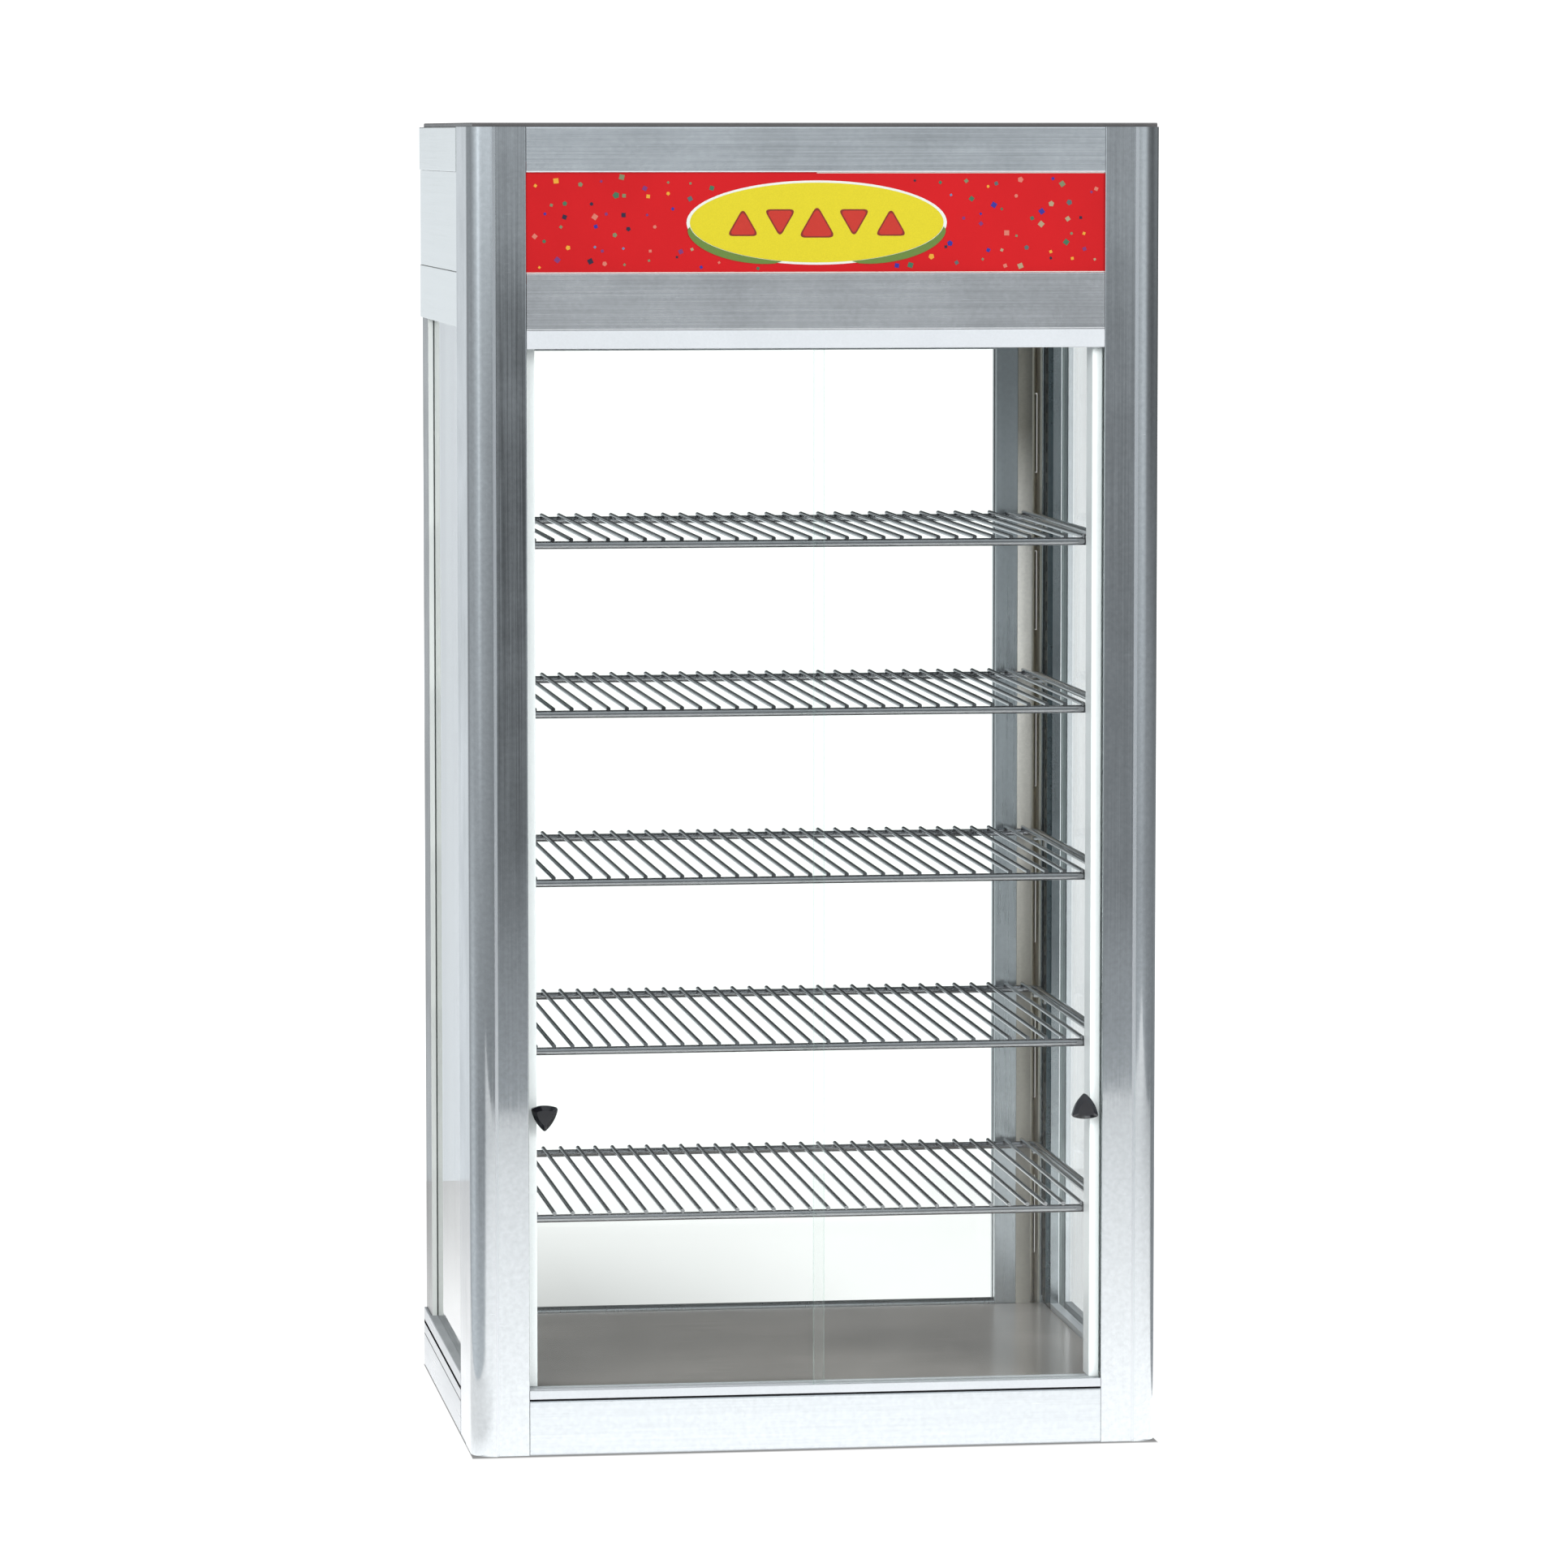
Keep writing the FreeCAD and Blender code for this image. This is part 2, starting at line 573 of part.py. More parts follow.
# --- rear door -----------------------------------------------------------------
def door_stile(x0, x1, groove_x):
    body = box(x0, x1, DOOR_FRONT, REAR, DOOR_BOTTOM, DOOR_TOP)
    body = rounded(rounded(body, SOFT_EDGE, "Y", DOOR_FRONT), SOFT_EDGE, "Y", REAR)
    below = DOOR_BOTTOM - CUT
    above = DOOR_TOP + CUT
    cavity = box(x0 + WALL, x1 - WALL, DOOR_FRONT + WALL, REAR - WALL, below, above)
    mid = (DOOR_FRONT + REAR) / 2
    play = GLASS / 2 + GROOVE_PLAY
    lip = DOOR_GROOVE + SHEET
    lips = box(groove_x - lip, groove_x + lip, mid - play - WALL, mid + play + WALL, DOOR_BOTTOM, DOOR_TOP)
    groove = box(groove_x - DOOR_GROOVE, groove_x + DOOR_GROOVE, mid - play, mid + play, below, above)
    lips = lips.common(body)
    return body.cut(cavity).fuse(lips).cut(groove).removeSplitter()


def rear_door_stiles():
    left = door_stile(DOOR_LEFT, DOOR_LEFT + STILE_WIDTH, DOOR_LEFT + STILE_WIDTH)
    right = door_stile(DOOR_RIGHT - STILE_WIDTH, DOOR_RIGHT, DOOR_RIGHT - STILE_WIDTH)
    return Part.makeCompound([left, right])


def door_rail(z0, groove_z):
    x0 = DOOR_LEFT + STILE_WIDTH
    x1 = DOOR_RIGHT - STILE_WIDTH
    body = box(x0, x1, DOOR_FRONT, REAR, z0, z0 + RAIL_HEIGHT)
    body = rounded(rounded(body, SOFT_EDGE, "Y", DOOR_FRONT), SOFT_EDGE, "Y", REAR)
    mid = (DOOR_FRONT + REAR) / 2
    play = GLASS / 2 + GROOVE_PLAY
    inset = DOOR_GROOVE + 2.5
    low = z0 + WALL if groove_z > z0 else z0 + inset
    high = z0 + RAIL_HEIGHT - inset if groove_z > z0 else z0 + RAIL_HEIGHT - WALL
    cavity = box(x0 - CUT, x1 + CUT, DOOR_FRONT + WALL, REAR - WALL, low, high)
    groove = box(x0 - CUT, x1 + CUT, mid - play, mid + play,
                 groove_z - DOOR_GROOVE, groove_z + DOOR_GROOVE)
    return body.cut(cavity).cut(groove)


def rear_door_rails():
    low = door_rail(DOOR_BOTTOM, DOOR_BOTTOM + RAIL_HEIGHT)
    high = door_rail(DOOR_TOP - RAIL_HEIGHT, DOOR_TOP - RAIL_HEIGHT)
    return Part.makeCompound([low, high])


def rear_door_glass():
    reach = 6.0
    mid = (DOOR_FRONT + REAR) / 2
    half = GLASS / 2
    return box(DOOR_LEFT + STILE_WIDTH - reach, DOOR_RIGHT - STILE_WIDTH + reach, mid - half, mid + half,
               DOOR_BOTTOM + RAIL_HEIGHT - reach, DOOR_TOP - RAIL_HEIGHT + reach)


def rear_door_handle():
    """Bow handle on the latch stile."""
    x = DOOR_LEFT + STILE_WIDTH / 2
    z_mid = 440.0
    half_span = 55.0
    stand = 26.0
    bend = 12.0
    half = math.sqrt(0.5)
    y0 = REAR
    y1 = REAR + stand
    z0 = z_mid - half_span
    z1 = z_mid + half_span
    edges = [
        line((x, y0, z0), (x, y1 - bend, z0)),
        arc((x, y1 - bend, z0), (x, y1 - bend + bend * half, z0 + bend - bend * half), (x, y1, z0 + bend)),
        line((x, y1, z0 + bend), (x, y1, z1 - bend)),
        arc((x, y1, z1 - bend), (x, y1 - bend + bend * half, z1 - bend + bend * half), (x, y1 - bend, z1)),
        line((x, y1 - bend, z1), (x, y0, z1)),
    ]
    section = Part.Wire(Part.makeCircle(4.5, V(x, y0, z0), V(0, 1, 0)))
    bow = Part.Wire(edges).makePipeShell([section], True, True)
    bow = Part.Solid(bow) if bow.ShapeType == "Shell" else bow
    roses = [cylinder(8.0, V(x, y0, z), V(0, 1, 0), 3.0) for z in (z0, z1)]
    return bow.fuse(roses).removeSplitter()


def knuckle(index, bore):
    z = hinge_bottom() + KNUCKLE_PITCH * index + 0.2
    length = KNUCKLE_PITCH - 0.4
    outer = Part.makeCylinder(KNUCKLE_R, length, V(HINGE_X, REAR, z))
    return outer, Part.makeCylinder(bore, length + 2, V(HINGE_X, REAR, z - 1)), z, length


def hinge_bottom():
    return (DOOR_BOTTOM + DOOR_TOP) / 2 - KNUCKLES * KNUCKLE_PITCH / 2


def hinge_leaf(x0, x1, first, bore):
    """Half of the continuous hinge: a strip, with a tab to every other knuckle."""
    bottom = hinge_bottom()
    top = bottom + KNUCKLES * KNUCKLE_PITCH
    leaf = box(x0, x1, DOOR_FRONT + 2, REAR - 3.8, bottom + 0.5, top - 0.5)
    bores = []
    for index in range(first, KNUCKLES, 2):
        barrel, hole, z, length = knuckle(index, bore)
        tab = box(x0, x1, REAR - 5, REAR, z, z + length)
        leaf = leaf.fuse(tab).fuse(barrel)
        bores.append(hole)
    return leaf.cut(Part.makeCompound(bores)).removeSplitter()


def hinge_door_leaf():
    return hinge_leaf(DOOR_RIGHT, DOOR_RIGHT + LEAF, 1, PIN_R + 0.05)


def hinge_frame_leaf():
    return hinge_leaf(PACKER_X - LEAF, PACKER_X, 0, PIN_R + 0.02)


def hinge_pin():
    return Part.makeCylinder(PIN_R, KNUCKLES * KNUCKLE_PITCH, V(HINGE_X, REAR, hinge_bottom()))


def door_catch():
    """Magnetic catch on the left rear post."""
    body = box(-INNER_X, -INNER_X + 13, DOOR_FRONT - 7, DOOR_FRONT - 0.3, 476, 516)
    return body.makeFillet(1.0, [edge for edge in body.Edges if edge.Length < 8])


# --- header: tray, rear panel and equipment ---------------------------------------
def header_tray():
    """Ceiling of the display space: carries the fan, heater and lamp."""
    half = INNER_X - 0.3
    front = FACE_Y + WALL + 6
    rear = DOOR_FRONT - 2
    body = box(-half, half, front, rear, TRAY_Z, TRAY_TOP)
    low = TRAY_Z - CUT
    high = TRAY_TOP + CUT
    corner = box(-half - CUT, -FACE_HALF + 3, front - CUT, JAMB_REAR - 4, low, high)
    body = body.cut(corner).cut(mirrored(corner))
    slot_half = 2.5
    fan_pitch = 12.0
    fan_reach = 54.0
    slots = []
    for i in range(-4, 5):
        y = FAN_Y + fan_pitch * i
        reach = math.sqrt(fan_reach ** 2 - (y - FAN_Y) ** 2)
        slots.append(box(FAN_X - reach, FAN_X + reach, y - slot_half, y + slot_half, low, high))
    return_x = 175.0
    return_reach = 35.0
    return_pitch = 14.0
    for i in range(7):
        for x in (-return_x, return_x):
            y = -40.0 + return_pitch * i
            slots.append(box(x - return_reach, x + return_reach, y - slot_half, y + slot_half, low, high))
    return body.cut(Part.makeCompound(slots))


def rear_header_panel():
    half = INNER_X - GAP
    z0 = TRAY_TOP + GAP
    web = box(-half, half, REAR - SHEET, REAR, z0, FRAME_TOP)
    top = box(-half, half, REAR - TOP_FOLD, REAR, FRAME_TOP - SHEET, FRAME_TOP)
    foot = box(-half, half, REAR - FOOT_FOLD, REAR, z0, z0 + SHEET)
    body = web.fuse(top).fuse(foot).removeSplitter()
    cuts = list(roof_screw_holes())
    inside = REAR - 3.0
    through = REAR + CUT - inside
    for x, z in rear_screw_points():
        cuts.append(cylinder(SCREW_HOLE_R, V(x, inside, z), V(0, 1, 0), through))
    cuts.append(cylinder(BUSH_R + FIT, V(THERMOSTAT_X, inside, CONTROL_Z), V(0, 1, 0), through))
    switch_half, switch_reach = SWITCH_HALF + FIT, SWITCH_REACH + FIT
    cuts.append(box(SWITCH_X - switch_half, SWITCH_X + switch_half, inside, REAR + CUT,
                    CONTROL_Z - switch_reach, CONTROL_Z + switch_reach))
    inlet_half, inlet_reach = INLET_HALF + 2 * FIT, INLET_REACH + 2 * FIT
    cuts.append(box(INLET_X - inlet_half, INLET_X + inlet_half, inside, REAR + CUT,
                    CONTROL_Z - inlet_reach, CONTROL_Z + inlet_reach))
    vent_pitch = 12.0
    for i in range(-3, 4):
        z = CONTROL_Z + vent_pitch * i
        cuts.append(box(-120, 40, inside, REAR + CUT, z - 2, z + 2))
    return body.cut(Part.makeCompound(cuts))


def fan_frame():
    """Compact axial fan frame with its bearing hub on three arms."""
    z0 = TRAY_TOP
    half = FAN_SIZE / 2
    body = box(FAN_X - half, FAN_X + half, FAN_Y - half, FAN_Y + half, z0, z0 + FAN_HEIGHT)
    upright = [edge for edge in body.Edges if edge.BoundBox.ZLength > FAN_HEIGHT - 0.1]
    body = body.makeFillet(8.0, upright)
    throat_r = 57.0
    hub_r = 22.0
    hole_at = 52.5
    through = FAN_HEIGHT + 2 * CUT
    body = body.cut(Part.makeCylinder(throat_r, through, V(FAN_X, FAN_Y, z0 - CUT)))
    hub = Part.makeCylinder(hub_r, 4.0, V(FAN_X, FAN_Y, z0))
    arms = []
    for angle in (30, 150, 270):
        arm = box(hub_r - 4, throat_r + 1, -2.5, 2.5, z0, z0 + 3)
        arms.append(arm.rotated(V(0, 0, 0), V(0, 0, 1), angle).translated(V(FAN_X, FAN_Y, 0)))
    holes = [Part.makeCylinder(2.2, through, V(FAN_X + x, FAN_Y + y, z0 - CUT))
             for x in (-hole_at, hole_at) for y in (-hole_at, hole_at)]
    bore = Part.makeCylinder(SHAFT_R + 0.05, 6, V(FAN_X, FAN_Y, z0 - CUT))
    return body.fuse([hub] + arms).cut(Part.makeCompound(holes + [bore])).removeSplitter()


def fan_rotor():
    z0 = TRAY_TOP + 5.0
    hub_r = 25.0
    hub_height = 17.0
    blade_tip = 54.0
    blade_pitch = 38.0
    blade_count = 7
    hub = Part.makeCylinder(hub_r, hub_height, V(FAN_X, FAN_Y, z0))
    top = [edge for edge in hub.Edges if edge.BoundBox.ZMin > z0 + hub_height - 0.1]
    hub = hub.makeFillet(3.0, top)
    shaft = Part.makeCylinder(SHAFT_R, 4.5, V(FAN_X, FAN_Y, z0 - 4.0))
    blades = []
    for i in range(blade_count):
        blade = box(hub_r - 3, blade_tip, -1.0, 1.0, -7.5, 7.5)
        blade = blade.rotated(V(0, 0, 0), V(1, 0, 0), blade_pitch)
        blade = blade.rotated(V(0, 0, 0), V(0, 0, 1), 360.0 / blade_count * i)
        blades.append(blade.translated(V(FAN_X, FAN_Y, z0 + hub_height / 2)))
    return hub.fuse([shaft] + blades).removeSplitter()


def heater_element():
    """Tubular element in a hairpin, held by a terminal block on the tray."""
    z = TRAY_TOP + 14
    radius = 4.0
    x0 = 78.0
    x1 = 200.0
    y0 = 100.0
    bend = 14.0
    edges = [
        line((x1, y0, z), (x0 + bend, y0, z)),
        arc((x0 + bend, y0, z), (x0, y0 + bend, z), (x0 + bend, y0 + 2 * bend, z)),
        line((x0 + bend, y0 + 2 * bend, z), (x1, y0 + 2 * bend, z)),
    ]
    section = Part.Wire(Part.makeCircle(radius, V(x1, y0, z), V(-1, 0, 0)))
    tube = Part.Wire(edges).makePipeShell([section], True, True)
    tube = Part.Solid(tube) if tube.ShapeType == "Shell" else tube
    block = box(x1 - 2, x1 + 14, y0 - 10, y0 + 2 * bend + 10, TRAY_TOP, z + 8)
    studs = [cylinder(2.0, V(x1 + 13, y, z), V(1, 0, 0), 9) for y in (y0, y0 + 2 * bend)]
    return tube.fuse([block] + studs).removeSplitter()


def lamp_batten():
    """Lamp base with its driver inside and an upright holder at each end."""
    y0 = -188.0
    y1 = -160.0
    half = 205.0
    base_top = TRAY_TOP + 22.0
    base = box(-half, half, y0, y1, TRAY_TOP, base_top)
    holder = box(half - LAMP_CAP, half, y0 + 2, y1 - 6, base_top - CUT, SIGN_TOP - 28)
    return base.fuse([holder, mirrored(holder)]).removeSplitter()


def lamp_tube():
    half = 192.8
    z = (SIGN_TOP + SIGN_BOTTOM) / 2
    y = -176.0
    glass_half = half - LAMP_CAP
    glass = cylinder(8.0, V(-glass_half, y, z), V(1, 0, 0), 2 * glass_half)
    caps = [cylinder(8.4, V(x, y, z), V(1, 0, 0), LAMP_CAP) for x in (-half, glass_half)]
    return glass.fuse(caps)


def thermostat_body():
    """Thermostat behind the rear panel, with a threaded bush through it."""
    rear = REAR - SHEET
    half = 18.0
    body = box(THERMOSTAT_X - half, THERMOSTAT_X + half, rear - 26, rear, CONTROL_Z - half, CONTROL_Z + half)
    bush = cylinder(BUSH_R, V(THERMOSTAT_X, rear - CUT, CONTROL_Z), V(0, 1, 0), SHEET + 3)
    bore = cylinder(SPINDLE_R + 0.05, V(THERMOSTAT_X, rear - 16, CONTROL_Z), V(0, 1, 0), 30)
    return body.fuse(bush).cut(bore)


def thermostat_knob():
    """Knob with its spindle in the bush; the flat rib is the pointer."""
    y0 = REAR + 3.4
    skirt_height = 3.0
    crown_start = y0 + skirt_height
    grip_at = 13.2
    grip_count = 12
    skirt = cylinder(17.0, V(THERMOSTAT_X, y0, CONTROL_Z), V(0, 1, 0), skirt_height)
    crown = Part.makeCone(12.5, 11.5, 12.0, V(THERMOSTAT_X, crown_start, CONTROL_Z), V(0, 1, 0))
    spindle = cylinder(SPINDLE_R, V(THERMOSTAT_X, y0 - 15, CONTROL_Z), V(0, 1, 0), 16)
    rib = box(THERMOSTAT_X - 1.5, THERMOSTAT_X + 1.5, crown_start, y0 + 16.5, CONTROL_Z + 2, CONTROL_Z + 15)
    grips = []
    for i in range(grip_count):
        a = 2 * math.pi * (i + 0.5) / grip_count
        middle = V(THERMOSTAT_X + grip_at * math.cos(a), crown_start, CONTROL_Z + grip_at * math.sin(a))
        grips.append(cylinder(1.6, middle, V(0, 1, 0), 14))
    recess = cylinder(12.0, V(THERMOSTAT_X, y0 - 0.1, CONTROL_Z), V(0, 1, 0), 1.6)
    ring = recess.cut(cylinder(5.0, V(THERMOSTAT_X, y0 - CUT, CONTROL_Z), V(0, 1, 0), 4))
    return skirt.fuse([crown, spindle]).cut(Part.makeCompound(grips)).fuse(rib).cut(ring).removeSplitter()


def switch_body():
    """Rocker switch housing with its bezel on the rear panel."""
    bezel = box(SWITCH_X - 8, SWITCH_X + 8, REAR, REAR + 2, CONTROL_Z - 11, CONTROL_Z + 11)
    case = box(SWITCH_X - SWITCH_HALF, SWITCH_X + SWITCH_HALF, REAR - 18, REAR + CUT,
               CONTROL_Z - SWITCH_REACH, CONTROL_Z + SWITCH_REACH)
    well = box(SWITCH_X - 5.2, SWITCH_X + 5.2, REAR - 8, REAR + 3, CONTROL_Z - 8.3, CONTROL_Z + 8.3)
    tabs = []
    for z in (CONTROL_Z - 5, CONTROL_Z + 5):
        tabs.append(box(SWITCH_X - 0.4, SWITCH_X + 0.4, REAR - 26, REAR - 17, z - 2.4, z + 2.4))
    return bezel.fuse([case] + tabs).cut(well).removeSplitter()


def switch_rocker():
    """Rocker at its off position, turned 8 degrees about its pivot."""
    pivot = V(SWITCH_X, REAR - 2.5, CONTROL_Z)
    outline = [
        (-7.4, 0.6), (-7.4, 6.6), (0.0, 4.4), (7.4, 6.6), (7.4, 0.6), (3.0, -3.2), (-3.0, -3.2),
    ]
    points = [V(SWITCH_X - 4.8, pivot.y + y, CONTROL_Z + z) for z, y in outline]
    body = Part.Face(Part.makePolygon(points + [points[0]])).extrude(V(9.6, 0, 0))
    return body.rotated(pivot, V(1, 0, 0), -8)


def power_inlet():
    """Panel inlet for a detachable cord: shroud, flange and three blades."""
    y0 = REAR
    flange = box(INLET_X - 20, INLET_X + 20, y0, y0 + 2.5, CONTROL_Z - 13, CONTROL_Z + 13)
    case = box(INLET_X - INLET_HALF, INLET_X + INLET_HALF, y0 - 20, y0 + CUT,
               CONTROL_Z - INLET_REACH, CONTROL_Z + INLET_REACH)
    well = box(INLET_X - 12.2, INLET_X + 12.2, y0 - 15, y0 + 3, CONTROL_Z - 8.4, CONTROL_Z + 8.4)
    blades = []
    for dx, dz in ((-7, -2), (0, 3), (7, -2)):
        x, z = INLET_X + dx, CONTROL_Z + dz
        blades.append(box(x - 1, x + 1, y0 - 16, y0 - 4, z - 2, z + 2))
    return flange.fuse(case).cut(well).fuse(blades).removeSplitter()


# --- build ---------------------------------------------------------------------------
def main():
    os.makedirs("parts", exist_ok=True)

    pairs = {
        "front_{}_post": front_post(),
        "{}_glazing_stile": glazing_stile(),
        "{}_base_panel": base_side_panel(),
        "{}_header_band": header_band(),
        "{}_upper_panel": upper_side_panel(),
        "{}_top_rail": top_side_rail(),
        "{}_side_glass": side_glass(),
    }
    for pattern, shape in pairs.items():
        save(pattern.format("left"), shape)
        save(pattern.format("right"), mirrored(shape))
    save("rear_left_post", rear_post())
    save("rear_right_post", hinge_post())

    save("top_front_rail", top_front_rail())
    save("sign_panel", sign_panel())
    save("front_header_rail", front_header_rail())
    save("roof_panel", roof_panel())
    save("top_door_track", track(HEADER_BOTTOM - GAP / 2, OPENING_TOP, True))
    save("bottom_door_track", bottom_track())
    save("left_jamb", jamb(INNER_PANE_Y + GLASS + 1.2))
    save("right_jamb", mirrored(jamb(OUTER_PANE_Y + GLASS + 1.0)))
    save("front_base_panel", front_base_panel())
    save("rear_sill", rear_sill())
    save("base_pan", base_pan())
    save("deck", deck())

    save("left_door_glass", inner_door_glass())
    save("left_door_pull", pull(-PULL_X, INNER_PANE_Y, False))
    save("right_door_glass", outer_door_glass())
    save("right_door_pull", pull(PULL_X, OUTER_PANE_Y, True))

    for index in range(SHELF_COUNT):
        save("shelf_" + str(index + 1), shelf(index))
    save("shelf_pilasters", shelf_pilasters())
    save("shelf_clips", shelf_clips())

    save("rear_door_stiles", rear_door_stiles())
    save("rear_door_rails", rear_door_rails())
    save("rear_door_glass", rear_door_glass())
    save("rear_door_handle", rear_door_handle())
    save("hinge_door_leaf", hinge_door_leaf())
    save("hinge_frame_leaf", hinge_frame_leaf())
    save("hinge_pin", hinge_pin())
    save("door_catch", door_catch())

    save("header_tray", header_tray())
    save("rear_header_panel", rear_header_panel())
    save("cabinet_screws", cabinet_screws())
    save("fan_frame", fan_frame())
    save("fan_rotor", fan_rotor())
    save("heater_element", heater_element())
    save("lamp_batten", lamp_batten())
    save("lamp_tube", lamp_tube())
    save("thermostat_body", thermostat_body())
    save("thermostat_knob", thermostat_knob())
    save("switch_body", switch_body())
    save("switch_rocker", switch_rocker())
    save("power_inlet", power_inlet())


main()
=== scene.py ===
import math
import random

import bpy
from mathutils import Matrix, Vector


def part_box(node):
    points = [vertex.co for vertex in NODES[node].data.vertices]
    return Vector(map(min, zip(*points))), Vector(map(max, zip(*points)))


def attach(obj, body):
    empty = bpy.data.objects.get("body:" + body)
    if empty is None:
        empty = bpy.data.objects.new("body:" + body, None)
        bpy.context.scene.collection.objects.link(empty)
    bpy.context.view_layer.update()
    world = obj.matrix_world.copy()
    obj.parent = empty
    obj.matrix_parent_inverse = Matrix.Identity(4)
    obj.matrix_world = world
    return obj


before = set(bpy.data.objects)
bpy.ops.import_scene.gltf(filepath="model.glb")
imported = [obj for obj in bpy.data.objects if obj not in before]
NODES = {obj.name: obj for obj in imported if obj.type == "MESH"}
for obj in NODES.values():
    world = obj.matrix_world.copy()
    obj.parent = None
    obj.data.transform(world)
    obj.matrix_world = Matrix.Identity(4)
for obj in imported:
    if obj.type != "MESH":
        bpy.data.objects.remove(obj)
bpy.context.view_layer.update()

# Looks of the glass door merchandiser, in metres in the CAD frame: front towards -Y, +Z up.

scene = bpy.context.scene

MM = 0.001
WHITE = (1.0, 1.0, 1.0, 1.0)

# Marks on the posts, by distance from the middle plane, and the look of the slope's painted
# highlight.
SLOPE_INNER = 0.2421      # the narrow slope between a front post's nose and its flange
SLOPE_OUTER = 0.2446
SLOPE_HIGHLIGHT_TONE, SLOPE_ROUGHNESS = (0.95, 0.98, 1.0), 0.5
TAPE_EDGE = 0.2508        # glazing tape covers a rear post's front face beyond this
FRONT_NORMAL_Y = -0.5     # a face whose normal is below this looks to the front

# The middle part of a noise value, where nearly all of it lies.
NOISE_RANGE = (0.3, 0.7)
GRAIN_RANGE = (0.25, 0.75)


# --- node helpers -------------------------------------------------------------------
def add(nt, kind, inputs=None, **props):
    """A shader node with its properties set and its inputs set or linked."""
    node = nt.nodes.new("ShaderNode" + kind)
    for key, value in props.items():
        setattr(node, key, value)
    for key, value in (inputs or {}).items():
        if isinstance(value, bpy.types.NodeSocket):
            nt.links.new(value, node.inputs[key])
        else:
            node.inputs[key].default_value = value
    return node


def new_material(name):
    mat = bpy.data.materials.new(name)
    mat.use_nodes = True
    nt = mat.node_tree
    return mat, nt, nt.nodes["Principled BSDF"]


def principled(mat):
    return mat.node_tree.nodes["Principled BSDF"]


def place(nt):
    """Position on the object in metres, the same at every pose."""
    return add(nt, "TexCoord").outputs["Object"]


def axis_of(nt, vector, axis):
    return add(nt, "SeparateXYZ", {0: vector}).outputs[axis]


def true_normal(nt):
    return add(nt, "NewGeometry").outputs["True Normal"]


def scaled(nt, vector, scale):
    return add(nt, "VectorMath", {0: vector, 1: scale}, operation="MULTIPLY").outputs[0]


def noise(nt, vector, scale, detail=3.0, rough=0.55, distortion=0.0):
    node = add(nt, "TexNoise", {"Vector": vector, "Scale": scale, "Detail": detail,
                                "Roughness": rough, "Distortion": distortion})
    return node.outputs["Fac"]


def remap(nt, value, low, high, to_low, to_high):
    node = add(nt, "MapRange", {"Value": value, "From Min": low, "From Max": high,
                                "To Min": to_low, "To Max": to_high})
    return node.outputs["Result"]


def spread(nt, value, to_low, to_high, span=NOISE_RANGE):
    """A noise value stretched over a range."""
    return remap(nt, value, span[0], span[1], to_low, to_high)


def vary(nt, value, amount, span=NOISE_RANGE):
    """A noise value as a factor that strays from one by an amount."""
    return spread(nt, value, 1.0 - amount, 1.0 + amount, span)


def math_node(nt, operation, a, b=0.0):
    return add(nt, "Math", {0: a, 1: b}, operation=operation).outputs[0]


def times(nt, first, *others):
    for other in others:
        first = math_node(nt, "MULTIPLY", first, other)
    return first


def tinted(nt, color, factor):
    """A colour times a factor near one."""
    rgb = add(nt, "CombineXYZ", {0: factor, 1: factor, 2: factor}).outputs[0]
    return add(nt, "VectorMath", {0: color, 1: rgb}, operation="MULTIPLY").outputs[0]


def mixed(nt, factor, a, b):
    node = add(nt, "Mix", {0: factor}, data_type="RGBA")
    for index, value in ((6, a), (7, b)):
        if isinstance(value, bpy.types.NodeSocket):
            nt.links.new(value, node.inputs[index])
        else:
            node.inputs[index].default_value = (*value, 1.0)
    return node.outputs[2]


def mixed_shaders(nt, factor, a, b):
    return add(nt, "MixShader", {0: factor, 1: a.outputs[0], 2: b.outputs[0]})


def bump(nt, height, distance, strength):
    node = add(nt, "Bump", {"Height": height, "Distance": distance, "Strength": strength})
    return node.outputs[0]


# --- materials ------------------------------------------------------------------------
FINE, COARSE = 900.0, 5.0     # noise scale across a grain and along it
GRAIN_SCALE = {"X": (COARSE, FINE, FINE), "Y": (FINE, COARSE, FINE), "Z": (FINE, FINE, COARSE),
               None: (260.0, 260.0, 260.0)}
WIDE_LINES = 0.16         # scale of the wide lines over that of the fine ones
AXES = {"X": (1.0, 0.0, 0.0), "Y": (0.0, 1.0, 0.0), "Z": (0.0, 0.0, 1.0)}
OFF_ZERO = (0.001, 0.002, 0.003)    # keeps the tangent from vanishing on faces square to the grain
SCRATCH_TURN = (0.35, 0.6, 0.5)
SCRATCH_SCALE = (60.0, 420.0, 420.0)
SCRATCH_TONE = (0.9, 0.93, 0.95)
SCRATCH_RANGE = (0.72, 0.76)        # only the peaks of the noise become scratches
PATCH_RANGE = (0.5, 0.62)
METAL_BUMP, METAL_BUMP_STRENGTH = 0.00002, 0.5
METAL_SPREAD = 0.05       # how far the roughness strays from line to line
PLASTIC_SPREAD = 0.03
PLASTIC_WEAR = 0.03
PLASTIC_BUMP_STRENGTH = 0.4
COAT_ROUGHNESS = 0.06


def scratched(nt, spot, base, amount):
    """Short bright scratches, in patches."""
    slant = add(nt, "Mapping", {"Vector": spot, "Rotation": SCRATCH_TURN, "Scale": SCRATCH_SCALE})
    ticks = noise(nt, slant.outputs[0], 1.0, detail=1.0)
    patches = noise(nt, spot, 14.0, detail=2.0)
    marks = times(nt, spread(nt, ticks, 0.0, amount, SCRATCH_RANGE),
                  spread(nt, patches, 0.0, 1.0, PATCH_RANGE))
    return mixed(nt, marks, base, SCRATCH_TONE)


